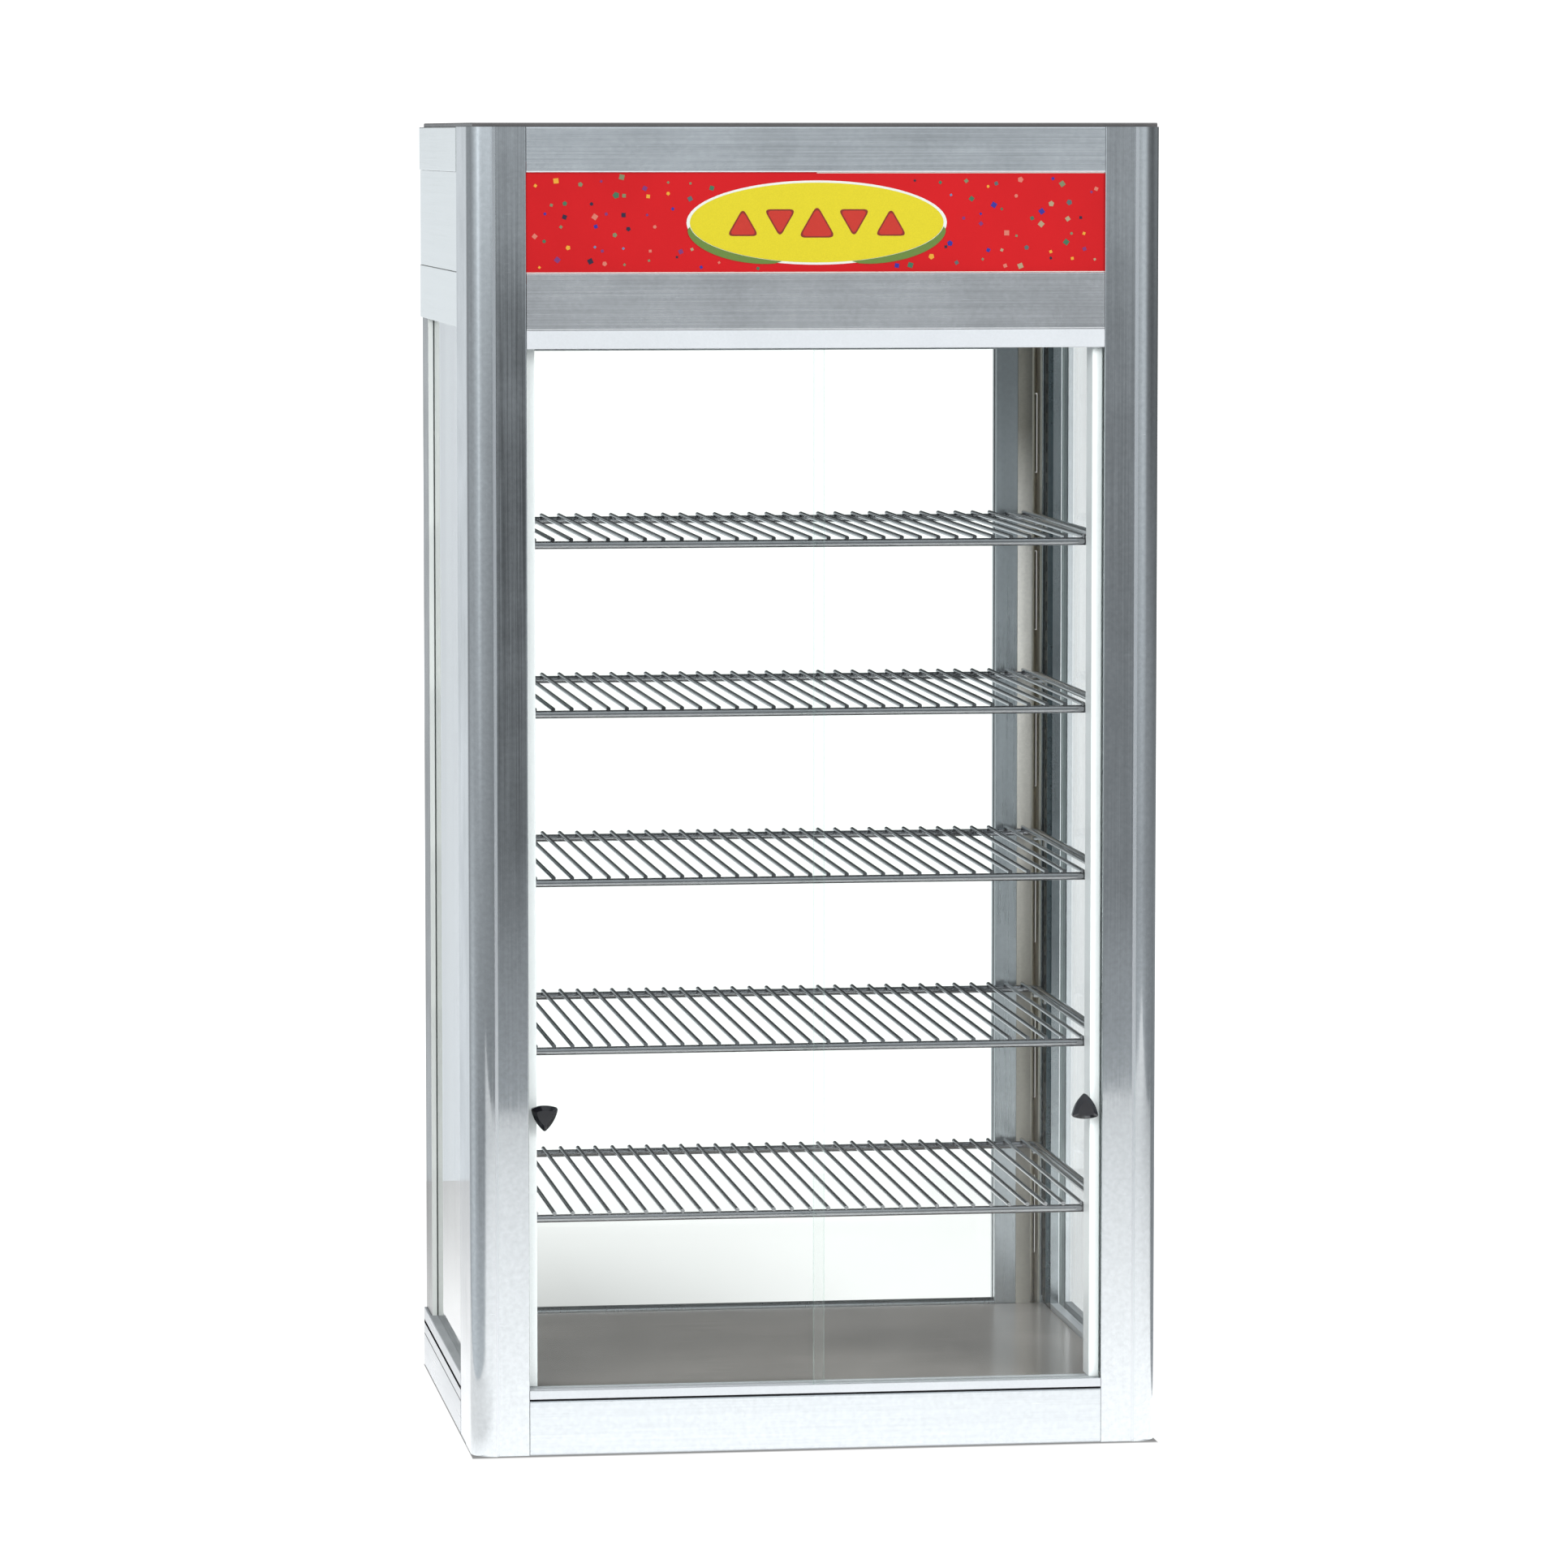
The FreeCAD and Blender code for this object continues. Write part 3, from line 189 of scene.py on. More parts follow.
def metal(name, color, roughness, grain, grain_depth=0.05, cloud=0.05, aniso=0.0, specks=0.0,
          mottle=0.03, metallic=1.0, shine=0.5):
    """Bare metal. grain is the axis that its lines run along, or None for an even, lineless one."""
    mat, nt, bsdf = new_material(name)
    spot = place(nt)
    stretch = GRAIN_SCALE[grain]
    lines = noise(nt, scaled(nt, spot, stretch), 1.0, detail=4.0, rough=0.6)
    wide_stretch = tuple(v * WIDE_LINES for v in stretch)
    wide = noise(nt, scaled(nt, spot, wide_stretch), 1.0, detail=2.0)
    clouds = noise(nt, spot, 9.0, detail=4.0, rough=0.6)
    blotches = noise(nt, spot, 260.0, detail=4.0, rough=0.6)
    factor = times(nt, vary(nt, lines, grain_depth, GRAIN_RANGE),
                   vary(nt, wide, 0.5 * grain_depth),
                   vary(nt, clouds, cloud),
                   vary(nt, blotches, mottle))
    base = tinted(nt, color, factor)
    if specks:
        base = scratched(nt, spot, base, specks)
    by_line = spread(nt, lines, roughness - METAL_SPREAD, roughness + METAL_SPREAD, GRAIN_RANGE)
    rough = math_node(nt, "ADD", by_line, spread(nt, clouds, -0.03, 0.03))
    nt.links.new(base, bsdf.inputs["Base Color"])
    nt.links.new(rough, bsdf.inputs["Roughness"])
    nt.links.new(bump(nt, lines, METAL_BUMP, METAL_BUMP_STRENGTH), bsdf.inputs["Normal"])
    bsdf.inputs["Metallic"].default_value = metallic
    bsdf.inputs["Specular IOR Level"].default_value = shine
    if aniso:
        bsdf.inputs["Anisotropic"].default_value = aniso
        crossed = add(nt, "VectorMath", {0: true_normal(nt), 1: AXES[grain]},
                      operation="CROSS_PRODUCT").outputs[0]
        tangent = add(nt, "VectorMath", {0: crossed, 1: OFF_ZERO}, operation="ADD").outputs[0]
        nt.links.new(tangent, bsdf.inputs["Tangent"])
    return mat


def painted_slope_highlight(mat):
    """Paints a highlight on the narrow slope between a front post's nose and its flange: a pale,
    rough line.
    """
    nt = mat.node_tree
    across = math_node(nt, "ABSOLUTE", axis_of(nt, place(nt), "X"))
    on = times(nt, math_node(nt, "GREATER_THAN", across, SLOPE_INNER),
               math_node(nt, "LESS_THAN", across, SLOPE_OUTER))
    base = principled(mat).inputs["Base Color"]
    rough = principled(mat).inputs["Roughness"]
    nt.links.new(mixed(nt, on, base.links[0].from_socket, SLOPE_HIGHLIGHT_TONE), base)
    drawn = rough.links[0].from_socket
    nt.links.new(add(nt, "Mix", {0: on, 2: drawn, 3: SLOPE_ROUGHNESS}).outputs[0], rough)


def tape(mat, tone):
    """Pale glazing tape on a rear post's front face, outside the glass."""
    nt = mat.node_tree
    across = math_node(nt, "ABSOLUTE", axis_of(nt, place(nt), "X"))
    front = math_node(nt, "LESS_THAN", axis_of(nt, true_normal(nt), "Y"), FRONT_NORMAL_Y)
    on = times(nt, front, math_node(nt, "GREATER_THAN", across, TAPE_EDGE))
    base = principled(mat).inputs["Base Color"]
    nt.links.new(mixed(nt, on, base.links[0].from_socket, tone), base)
    nt.links.new(math_node(nt, "SUBTRACT", 1.0, on), principled(mat).inputs["Metallic"])


def painted_light_by_height(mat, high, low, upper, lower):
    """Paints light and shade by height: multiplies a material's colour by upper above a height and
    by lower below another.
    """
    nt = mat.node_tree
    base = principled(mat).inputs["Base Color"]
    color = base.links[0].from_socket
    height = axis_of(nt, place(nt), "Z")
    nt.links.new(tinted(nt, color, remap(nt, height, high, low, upper, lower)), base)


def plastic(name, color, roughness, coat=0.0, mottle=0.06, texture=700.0, depth=0.00002,
            shine=0.5):
    """Moulded plastic or enamel with a fine surface texture and faint uneven gloss."""
    mat, nt, bsdf = new_material(name)
    spot = place(nt)
    grain = noise(nt, spot, texture, rough=0.6)
    clouds = noise(nt, spot, 18.0, detail=4.0, rough=0.6)
    factor = times(nt, vary(nt, clouds, mottle), vary(nt, grain, PLASTIC_WEAR))
    fine = spread(nt, grain, roughness - PLASTIC_SPREAD, roughness + PLASTIC_SPREAD)
    rough = math_node(nt, "ADD", fine, spread(nt, clouds, -0.03, 0.05))
    nt.links.new(tinted(nt, color, factor), bsdf.inputs["Base Color"])
    nt.links.new(rough, bsdf.inputs["Roughness"])
    nt.links.new(bump(nt, grain, depth, PLASTIC_BUMP_STRENGTH), bsdf.inputs["Normal"])
    bsdf.inputs["Coat Weight"].default_value = coat
    bsdf.inputs["Coat Roughness"].default_value = COAT_ROUGHNESS
    bsdf.inputs["Specular IOR Level"].default_value = shine
    return mat


CUT_EDGE_TINT = (0.88, 0.94, 0.92)
CUT_EDGE_SHINE = 0.08
FACE_ON_SHINE = 0.018     # mirror share of the glass seen square on
SMEAR_SHINE = 0.012       # what a smear adds to it
SMEAR_SCALE = (7.0, 7.0, 16.0)
FACE_RANGE = (0.8, 0.9)   # from a cut edge to a face, by the normal's part along the face axis


def pane_glass(name, tint, face_axis, falloff=8.0):
    """Flat glass: clear through the faces that look along face_axis, green at its cut edges.

    falloff says how fast the mirror share drops from a grazing view to a square one.
    """
    mat, nt, bsdf = new_material(name)
    spot = place(nt)
    smears = noise(nt, scaled(nt, spot, SMEAR_SCALE), 1.0, detail=5.0, rough=0.65, distortion=0.6)
    gloss = add(nt, "BsdfGlossy", {"Color": WHITE,
                                   "Roughness": remap(nt, smears, 0.45, 0.75, 0.0, 0.12)})
    clear = add(nt, "BsdfTransparent", {"Color": (*tint, 1.0)})
    facing = add(nt, "LayerWeight", {"Blend": 0.5}).outputs["Facing"]
    slant = math_node(nt, "POWER", facing, falloff)
    mirror = math_node(nt, "ADD", remap(nt, slant, 0.0, 1.0, FACE_ON_SHINE, 1.0),
                       remap(nt, smears, 0.5, 0.8, 0.0, SMEAR_SHINE))
    pane = mixed_shaders(nt, mirror, clear, gloss)

    ripple = noise(nt, spot, 90.0, detail=2.0)
    nt.links.new(tinted(nt, CUT_EDGE_TINT, spread(nt, ripple, 0.85, 1.1)),
                 bsdf.inputs["Base Color"])
    bsdf.inputs["Roughness"].default_value = 0.12
    through = add(nt, "BsdfTransparent", {"Color": (*CUT_EDGE_TINT, 1.0)})
    rim = mixed_shaders(nt, CUT_EDGE_SHINE, through, bsdf)

    square_on = math_node(nt, "ABSOLUTE", axis_of(nt, true_normal(nt), face_axis))
    is_face = remap(nt, square_on, *FACE_RANGE, 0.0, 1.0)
    whole = mixed_shaders(nt, is_face, rim, pane)
    nt.links.new(whole.outputs[0], nt.nodes["Material Output"].inputs["Surface"])
    return mat


def lit_color(nt, bsdf, color, strength):
    """The same colour as base and as a glow, for the lamp and for pieces that it lights."""
    nt.links.new(color, bsdf.inputs["Base Color"])
    nt.links.new(color, bsdf.inputs["Emission Color"])
    bsdf.inputs["Emission Strength"].default_value = strength


def sign_red():
    mat, nt, bsdf = new_material("sign_red")
    spot = place(nt)
    dots = noise(nt, spot, 1400.0, detail=2.0)
    clouds = noise(nt, spot, 12.0)
    factor = times(nt, vary(nt, dots, 0.04), vary(nt, clouds, 0.05))
    lit_color(nt, bsdf, tinted(nt, (0.335, 0.005, 0.007), factor), 0.2)
    bsdf.inputs["Specular IOR Level"].default_value = 0.2
    nt.links.new(spread(nt, clouds, 0.4, 0.5), bsdf.inputs["Roughness"])
    return mat


def print_ink(name, color, glow=0.25):
    """Printed colour on the sign."""
    mat, nt, bsdf = new_material(name)
    dots = noise(nt, place(nt), 1600.0, detail=2.0)
    lit_color(nt, bsdf, tinted(nt, color, vary(nt, dots, 0.07)), glow)
    nt.links.new(spread(nt, dots, 0.3, 0.4), bsdf.inputs["Roughness"])
    bsdf.inputs["Coat Weight"].default_value = 0.3
    return mat


def lamp_glass():
    mat, nt, bsdf = new_material("lamp_glass_frosted")
    powder = noise(nt, place(nt), 500.0)
    lit_color(nt, bsdf, tinted(nt, (0.93, 0.93, 0.9), spread(nt, powder, 0.95, 1.03)), 0.6)
    nt.links.new(spread(nt, powder, 0.2, 0.3), bsdf.inputs["Roughness"])
    return mat


SEAL_BROWN, SEAL_PALE = (0.26, 0.24, 0.20), (0.92, 0.87, 0.81)
SEAL_FADE_IN = (0.30, 0.62, 0.15, 1.0)      # height from and to, then how pale at each
SEAL_FADE_OUT = (0.66, 0.76, 1.0, 0.0)
STREAK_SCALE = (60.0, 60.0, 9.0)


def seal_brown():
    """Seal, browner at the top and bottom than in the middle."""
    mat, nt, bsdf = new_material("door_seal_vinyl")
    spot = place(nt)
    height = axis_of(nt, spot, "Z")
    specks = noise(nt, spot, 500.0)
    streaks = noise(nt, scaled(nt, spot, STREAK_SCALE), 1.0)
    pale = times(nt, remap(nt, height, *SEAL_FADE_IN), remap(nt, height, *SEAL_FADE_OUT))
    color = mixed(nt, pale, SEAL_BROWN, SEAL_PALE)
    factor = times(nt, vary(nt, specks, 0.06), vary(nt, streaks, 0.08))
    nt.links.new(tinted(nt, color, factor), bsdf.inputs["Base Color"])
    nt.links.new(spread(nt, specks, 0.45, 0.55), bsdf.inputs["Roughness"])
    return mat


# --- CAD nodes --------------------------------------------------------------------------
def assign(names, mat):
    for name in names.split():
        for slot in NODES[name].material_slots:
            slot.link = "OBJECT"
            slot.material = mat


def dress_posts():
    post = metal("drawn_aluminium", (0.64, 0.665, 0.68), 0.11, "Z", grain_depth=0.015, cloud=0.03,
                 aniso=1.0, specks=0.3, mottle=0.06)
    # The pale line on each front post's slope is a painted highlight.
    painted_slope_highlight(post)
    # Painted shade: the left rear post is a darker copy of the rear post metal, with darker tape,
    # and darker still towards the bottom.
    left = metal("rear_post_left_shaded", (0.26, 0.26, 0.25), 0.16, "Z", grain_depth=0.02, cloud=0.04,
                 aniso=0.9, specks=0.1, mottle=0.05)
    tape(left, (0.74, 0.76, 0.73))
    painted_light_by_height(left, 0.85, 0.30, 1.0, 0.75)
    right = metal("rear_post_right", (0.44, 0.47, 0.48), 0.16, "Z", grain_depth=0.02, cloud=0.04,
                  aniso=0.9, specks=0.1, mottle=0.05)
    tape(right, (0.84, 0.85, 0.86))
    assign("front_left_post front_right_post left_glazing_stile right_glazing_stile", post)
    assign("rear_left_post", left)
    assign("rear_right_post", right)


def dress_skins():
    side = metal("side_aluminium", (0.88, 0.90, 0.87), 0.16, "Y", grain_depth=0.03, cloud=0.03,
                 aniso=0.5)
    base_side = metal("base_side_aluminium", (0.58, 0.595, 0.61), 0.3, "Y", grain_depth=0.03,
                      cloud=0.03, aniso=0.5, metallic=0.2, shine=0.1)
    rail = metal("brushed_aluminium", (0.72, 0.75, 0.77), 0.22, "X", grain_depth=0.018,
                 cloud=0.04, aniso=0.9, specks=0.4, mottle=0.04)
    header = metal("brushed_header_aluminium", (0.62, 0.63, 0.64), 0.24, "X", grain_depth=0.018,
                   aniso=0.9, specks=0.6, mottle=0.05)
    # The roof sheet's dark tone is partly painted shade: it also stands in for the shaded line
    # along the roof's edge.
    roof = metal("roof_sheet", (0.22, 0.205, 0.20), 0.35, "X", grain_depth=0.06, cloud=0.06,
                 aniso=0.5)
    sheet = metal("brushed_steel_sheet", (0.60, 0.61, 0.62), 0.30, "X", aniso=0.9, specks=0.2)
    tray = metal("galvanised", (0.55, 0.57, 0.58), 0.42, None, grain_depth=0.12, cloud=0.10)
    deck = metal("stainless_deck_brushed", (0.52, 0.475, 0.44), 0.2, "X", cloud=0.06, aniso=0.5,
                 metallic=0.35)
    assign("left_base_panel right_base_panel", base_side)
    assign("left_header_band right_header_band", side)
    assign("left_upper_panel right_upper_panel left_top_rail right_top_rail", side)
    assign("top_front_rail front_base_panel", rail)
    assign("front_header_rail", header)
    assign("roof_panel", roof)
    assign("rear_header_panel rear_sill", sheet)
    assign("base_pan header_tray", tray)
    assign("deck", deck)


def dress_fittings():
    hinge = metal("hinge_mill_steel", (0.86, 0.81, 0.70), 0.42, "Z", grain_depth=0.04, cloud=0.06)
    pilaster = metal("pilaster_dark_zinc", (0.10, 0.13, 0.14), 0.3, None, grain_depth=0.06)
    door_frame = metal("door_frame_aluminium", (0.42, 0.44, 0.45), 0.30, "Z", grain_depth=0.04,
                       aniso=0.4, mottle=0.05)
    # Painted light and shade: the door frame is lighter below and darker above.
    painted_light_by_height(door_frame, 0.80, 0.60, 0.82, 1.45)
    chrome = metal("chrome_plate", (0.32, 0.32, 0.33), 0.07, None, grain_depth=0.03, cloud=0.04)
    zinc = metal("zinc_plate", (0.68, 0.69, 0.70), 0.30, None, grain_depth=0.08, cloud=0.06)
    element = metal("heat_tinted_steel", (0.30, 0.25, 0.22), 0.38, None, grain_depth=0.12,
                    cloud=0.2)
    assign("hinge_frame_leaf hinge_door_leaf hinge_pin", hinge)
    assign("rear_door_stiles rear_door_rails", door_frame)
    assign("shelf_1 shelf_2 shelf_3 shelf_4 shelf_5", chrome)
    assign("shelf_pilasters", pilaster)
    assign("shelf_clips cabinet_screws", zinc)
    assign("heater_element", element)


def dress_glass():
    assign("left_door_glass right_door_glass rear_door_glass",
           pane_glass("door_glass", (0.975, 0.985, 0.98), "Y"))
    assign("left_side_glass",
           pane_glass("side_glass_left", (0.955, 0.972, 0.965), "X", falloff=3.0))
    assign("right_side_glass",
           pane_glass("side_glass_right", (0.925, 0.94, 0.95), "X", falloff=9.0))
    assign("lamp_tube", lamp_glass())
    assign("sign_panel", sign_red())


def dress_plastics():
    jamb = plastic("white_jamb_plastic", (0.90, 0.905, 0.91), 0.35, coat=0.1, mottle=0.02)
    # Painted shade: the white tracks are given a grey tone.
    track = plastic("white_track_plastic_shaded", (0.45, 0.465, 0.48), 0.35, coat=0.1, mottle=0.02)
    gloss_black = plastic("gloss_black", (0.006, 0.006, 0.008), 0.12, coat=0.5, mottle=0.2,
                          texture=900.0, depth=0.000005)
    black = plastic("black_moulded", (0.022, 0.022, 0.024), 0.42, mottle=0.12, texture=1400.0,
                    depth=0.00003)
    enamel = plastic("white_enamel_coat", (0.82, 0.82, 0.80), 0.25, coat=0.3, mottle=0.02,
                     texture=300.0)
    brown = plastic("phenolic_brown", (0.13, 0.07, 0.045), 0.5, mottle=0.15, texture=900.0,
                    depth=0.00003)
    assign("left_jamb right_jamb", jamb)
    assign("top_door_track bottom_door_track", track)
    assign("left_door_pull right_door_pull", gloss_black)
    assign("rear_door_handle door_catch fan_frame fan_rotor", black)
    assign("thermostat_knob switch_body switch_rocker power_inlet", black)
    assign("lamp_batten", enamel)
    assign("thermostat_body", brown)


# --- sign print -------------------------------------------------------------------------
SIGN_LOW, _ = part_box("sign_panel")
RAIL_LOW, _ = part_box("top_front_rail")
_, HEADER_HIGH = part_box("front_header_rail")
VIEW_LOW = Vector((RAIL_LOW.x, 0, HEADER_HIGH.z))
VIEW_HIGH = Vector((-RAIL_LOW.x, 0, RAIL_LOW.z))
SIGN_Y = SIGN_LOW.y
SIGN_MID_Z = (VIEW_LOW.z + VIEW_HIGH.z) / 2

FILM = 0.12 * MM          # one printed layer
CONFETTI_GRID = (26, 6)
CONFETTI_MARGIN = (0.004, 0.002)
CONFETTI_JITTER = (0.08, 0.92)      # where in its cell a flake may stand
CONFETTI_TURN = 1.57
CONFETTI_SIZES = (0.0012, 0.0015, 0.0019, 0.0023, 0.0027)
CONFETTI_SIDES = (4, 4, 4, 5)
CONFETTI_FREE = (0.108, 0.037)      # half width and height of the oval that stays clear
CONFETTI_INKS = (
    (0.016, 0.012, 0.16), (0.012, 0.006, 0.02), (0.05, 0.07, 0.07), (0.36, 0.10, 0.07),
    (0.23, 0.17, 0.10), (0.42, 0.20, 0.015), (0.025, 0.085, 0.045), (0.11, 0.015, 0.09),
    (0.11, 0.12, 0.06), (0.08, 0.12, 0.20),
)
BORDER_HALF = (0.0985, 0.0315)
BADGE_HALF = (0.0960, 0.0298)
BAND_HALF = (0.0965, 0.0300)
BAND_WIDTH = 0.0062
BAND_SPANS = ((186.0, 254.0), (286.0, 354.0))
BAND_STEPS = 24
CHIP_SPOTS = (-0.056, -0.028, 0.0, 0.028, 0.056)
CHIP_SIZE, MIDDLE_CHIP_SIZE = 0.0140, 0.0165
CHIP_SHIFT = 0.003        # up or down, so that the triangles look level
CHIP_ROUNDING = 0.35      # of the triangle's size
THIRD_TURN = 2.0944       # in radians
ROUND_STEPS, OVAL_STEPS = 6, 72
CRUST = 0.0022
MARGIN_LINE = 0.0007


def new_object(name, verts, faces):
    mesh = bpy.data.meshes.new(name)
    mesh.from_pydata(verts, [], faces)
    obj = bpy.data.objects.new(name, mesh)
    scene.collection.objects.link(obj)
    return obj


def plate_mesh(name, outlines, y_front, thickness, materials):
    """Thin closed plates in the XZ plane. Each outline is (points, material index)."""
    verts, faces, indices = [], [], []
    for points, index in outlines:
        start = len(verts)
        count = len(points)
        verts += [(x, y_front, z) for x, z in points]
        verts += [(x, y_front + thickness, z) for x, z in points]
        faces.append([start + i for i in range(count)])
        faces.append([start + count + i for i in reversed(range(count))])
        for i in range(count):
            j = (i + 1) % count
            faces.append([start + i, start + count + i, start + count + j, start + j])
        indices += [index] * (count + 2)
    piece = new_object(name, verts, faces)
    for polygon, index in zip(piece.data.polygons, indices):
        polygon.material_index = index
    for mat in materials:
        piece.data.materials.append(mat)
    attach(piece, "cabinet")


def regular(x, z, size, angle, sides):
    """Corners of a regular polygon."""
    step = 2 * math.pi / sides
    return [(x + size * math.cos(angle + i * step), z + size * math.sin(angle + i * step))
            for i in range(sides)]


def rounded(points, radius):
    """A polygon with each corner rounded to an arc-like curve."""
    out = []
    count = len(points)
    for i in range(count):
        here = Vector(points[i])
        before = (Vector(points[i - 1]) - here).normalized()
        after = (Vector(points[(i + 1) % count]) - here).normalized()
        a = here + before * radius
        b = here + after * radius
        for k in range(ROUND_STEPS + 1):
            t = k / ROUND_STEPS
            p = a * (1 - t) ** 2 + here * 2 * t * (1 - t) + b * t ** 2
            out.append((p.x, p.y))
    return out


def on_oval(half_x, half_z, angle):
    """A point on an ellipse in the middle of the sign."""
    return half_x * math.cos(angle), SIGN_MID_Z + half_z * math.sin(angle)


def oval(half):
    angles = [math.radians(360 * i / OVAL_STEPS) for i in range(OVAL_STEPS)]
    return [on_oval(half[0], half[1], angle) for angle in angles]


def band(start, stop):
    """A curved band along the badge from one angle to another, tapering to its ends, as quads."""
    quads = []
    for i in range(BAND_STEPS):
        corners = []
        for k, is_outer in ((i, 0), (i, 1), (i + 1, 1), (i + 1, 0)):
            t = k / BAND_STEPS
            angle = math.radians(start + (stop - start) * t)
            out = is_outer * BAND_WIDTH * math.sin(math.pi * t) ** 0.5 if 0 < t < 1 else 0.0
            corners.append(on_oval(BAND_HALF[0] + out, BAND_HALF[1] + out, angle))
        quads.append(corners)
    return quads


def chip(x, z, size, angle):
    """A rounded triangle."""
    turns = [angle + i * THIRD_TURN for i in range(3)]
    points = [(x + size * math.cos(turn), z + size * math.sin(turn)) for turn in turns]
    return rounded(points, size * CHIP_ROUNDING)


def confetti():
    """Small turned squares, and some five-sided flakes, all over the panel but the badge."""
    rng = random.Random(7)
    columns, rows = CONFETTI_GRID
    margin_x, margin_z = CONFETTI_MARGIN
    cell_x = (VIEW_HIGH.x - VIEW_LOW.x - 2 * margin_x) / columns
    cell_z = (VIEW_HIGH.z - VIEW_LOW.z - 2 * margin_z) / rows
    free_x, free_z = CONFETTI_FREE
    flakes = []
    for column in range(columns):
        for row in range(rows):
            x = VIEW_LOW.x + margin_x + cell_x * (column + rng.uniform(*CONFETTI_JITTER))
            z = VIEW_LOW.z + margin_z + cell_z * (row + rng.uniform(*CONFETTI_JITTER))
            size = rng.choice(CONFETTI_SIZES)
            angle = rng.uniform(0, CONFETTI_TURN)
            sides = rng.choice(CONFETTI_SIDES)
            ink = rng.randrange(len(CONFETTI_INKS))
            if (x / free_x) ** 2 + ((z - SIGN_MID_Z) / free_z) ** 2 > 1:
                flakes.append((regular(x, z, size, angle, sides), ink))
    inks = [print_ink("ink_%d" % i, color) for i, color in enumerate(CONFETTI_INKS)]
    plate_mesh("sign_confetti", flakes, SIGN_Y - FILM, FILM, inks)


def badge():
    """A plain badge of shapes, as layers of thin printed film."""
    white = print_ink("ink_white", (0.46, 0.46, 0.43), 0.2)
    yellow = print_ink("ink_yellow", (0.41, 0.345, 0.006), 0.2)
    amber = print_ink("ink_amber", (0.31, 0.016, 0.008), 0.2)
    crust = print_ink("ink_crust", (0.14, 0.012, 0.006), 0.15)
    green = print_ink("ink_green", (0.075, 0.125, 0.022), 0.2)

    plate_mesh("sign_badge_border", [(oval(BORDER_HALF), 0)], SIGN_Y - 2 * FILM, 2 * FILM, [white])
    plate_mesh("sign_badge", [(oval(BADGE_HALF), 0)], SIGN_Y - 3 * FILM, FILM, [yellow])
    backs, fronts = [], []
    for i, x in enumerate(CHIP_SPOTS):
        turn = 1 if i % 2 == 0 else -1
        size = MIDDLE_CHIP_SIZE if x == 0.0 else CHIP_SIZE
        z = SIGN_MID_Z - turn * CHIP_SHIFT
        backs.append((chip(x, z, size, turn * math.pi / 2), 0))
        fronts.append((chip(x, z, size - CRUST, turn * math.pi / 2), 0))
    plate_mesh("sign_chip_backs", backs, SIGN_Y - 4 * FILM, FILM, [crust])
    plate_mesh("sign_chip_fronts", fronts, SIGN_Y - 5 * FILM, FILM, [amber])
    quads = [(quad, 0) for start, stop in BAND_SPANS for quad in band(start, stop)]
    plate_mesh("sign_accents", quads, SIGN_Y - 5 * FILM, 4 * FILM, [green])

    low, high = VIEW_LOW, VIEW_HIGH
    foot, head = low.z + MARGIN_LINE, high.z - MARGIN_LINE
    lines = [
        ([(low.x, low.z), (high.x, low.z), (high.x, foot), (low.x, foot)], 0),
        ([(0.0, head), (high.x, head), (high.x, high.z), (0.0, high.z)], 0),
    ]
    plate_mesh("sign_margins", lines, SIGN_Y - 2 * FILM, FILM, [white])


# --- strips and gaskets -----------------------------------------------------------------
BOX_FACES = [(0, 1, 3, 2), (4, 6, 7, 5), (0, 4, 5, 1), (2, 3, 7, 6), (0, 2, 6, 4), (1, 5, 7, 3)]
SLOT_HEIGHTS = (34.45 * MM, 37.35 * MM)
SEAM_HEIGHTS = (25.45 * MM, 26.55 * MM)
STRIP_NEAR, STRIP_FAR = 0.06 * MM, 0.36 * MM      # depth of the faces of the slot's painted-shadow strip and of the seam liner under the skin
STRIP_INSET = 0.3 * MM
GASKET_PANE_GAP, GASKET_SKIN_GAP = 0.05 * MM, 0.6 * MM
GASKET_INSET, GASKET_HEIGHT = 0.5 * MM, 1.2 * MM
SHADOW_DEPTHS = (0.9 * MM, 1.39 * MM)             # behind the bottom track's front face
SHADOW_HEIGHTS = (0.15 * MM, 1.5 * MM)            # over the front base's top
SEAL_WIDTH, SEAL_THICKNESS = 11.6 * MM, 0.8 * MM
SEAL_SIDE_INSET, SEAL_END_INSET = 0.2 * MM, 2 * MM


def strip(name, xs, ys, zs, mat, body="cabinet"):
    """A straight strip between two values along each axis."""
    corners = [(x, y, z) for x in sorted(xs) for y in ys for z in zs]
    obj = new_object(name, corners, BOX_FACES)
    obj.data.materials.append(mat)
    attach(obj, body)


# Matte rubber, also used for the black strips of painted shadow.
def rubber_and_shadow(name, tone, roughness, mottle):
    return plastic(name, tone, roughness, mottle=mottle, texture=1200.0, shine=0.0)


def side_strips(side, panel, glass, black, seam, gasket):
    """A black strip of painted shadow in the base's slot, a liner in the seam, and the gasket under
    the side pane.
    """
    low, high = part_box(panel)
    glass_low, glass_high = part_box(glass)
    outer, pane = (low.x, glass_low.x) if side < 0 else (high.x, glass_high.x)
    name = panel.split("_")[0]
    strip_xs = (outer - side * STRIP_NEAR, outer - side * STRIP_FAR)
    strip_ys = (low.y + STRIP_INSET, high.y - STRIP_INSET)
    # Painted shadow: a black strip in the base's slot, where the slot's shade falls.
    strip(name + "_base_slot_shadow", strip_xs, strip_ys, SLOT_HEIGHTS, black)
    strip(name + "_base_seam_liner", strip_xs, strip_ys, SEAM_HEIGHTS, seam)
    strip(name + "_glass_gasket",
          (pane + side * GASKET_PANE_GAP, outer - side * GASKET_SKIN_GAP),
          (low.y + GASKET_INSET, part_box("rear_left_post")[0].y),
          (high.z, high.z + GASKET_HEIGHT), gasket)


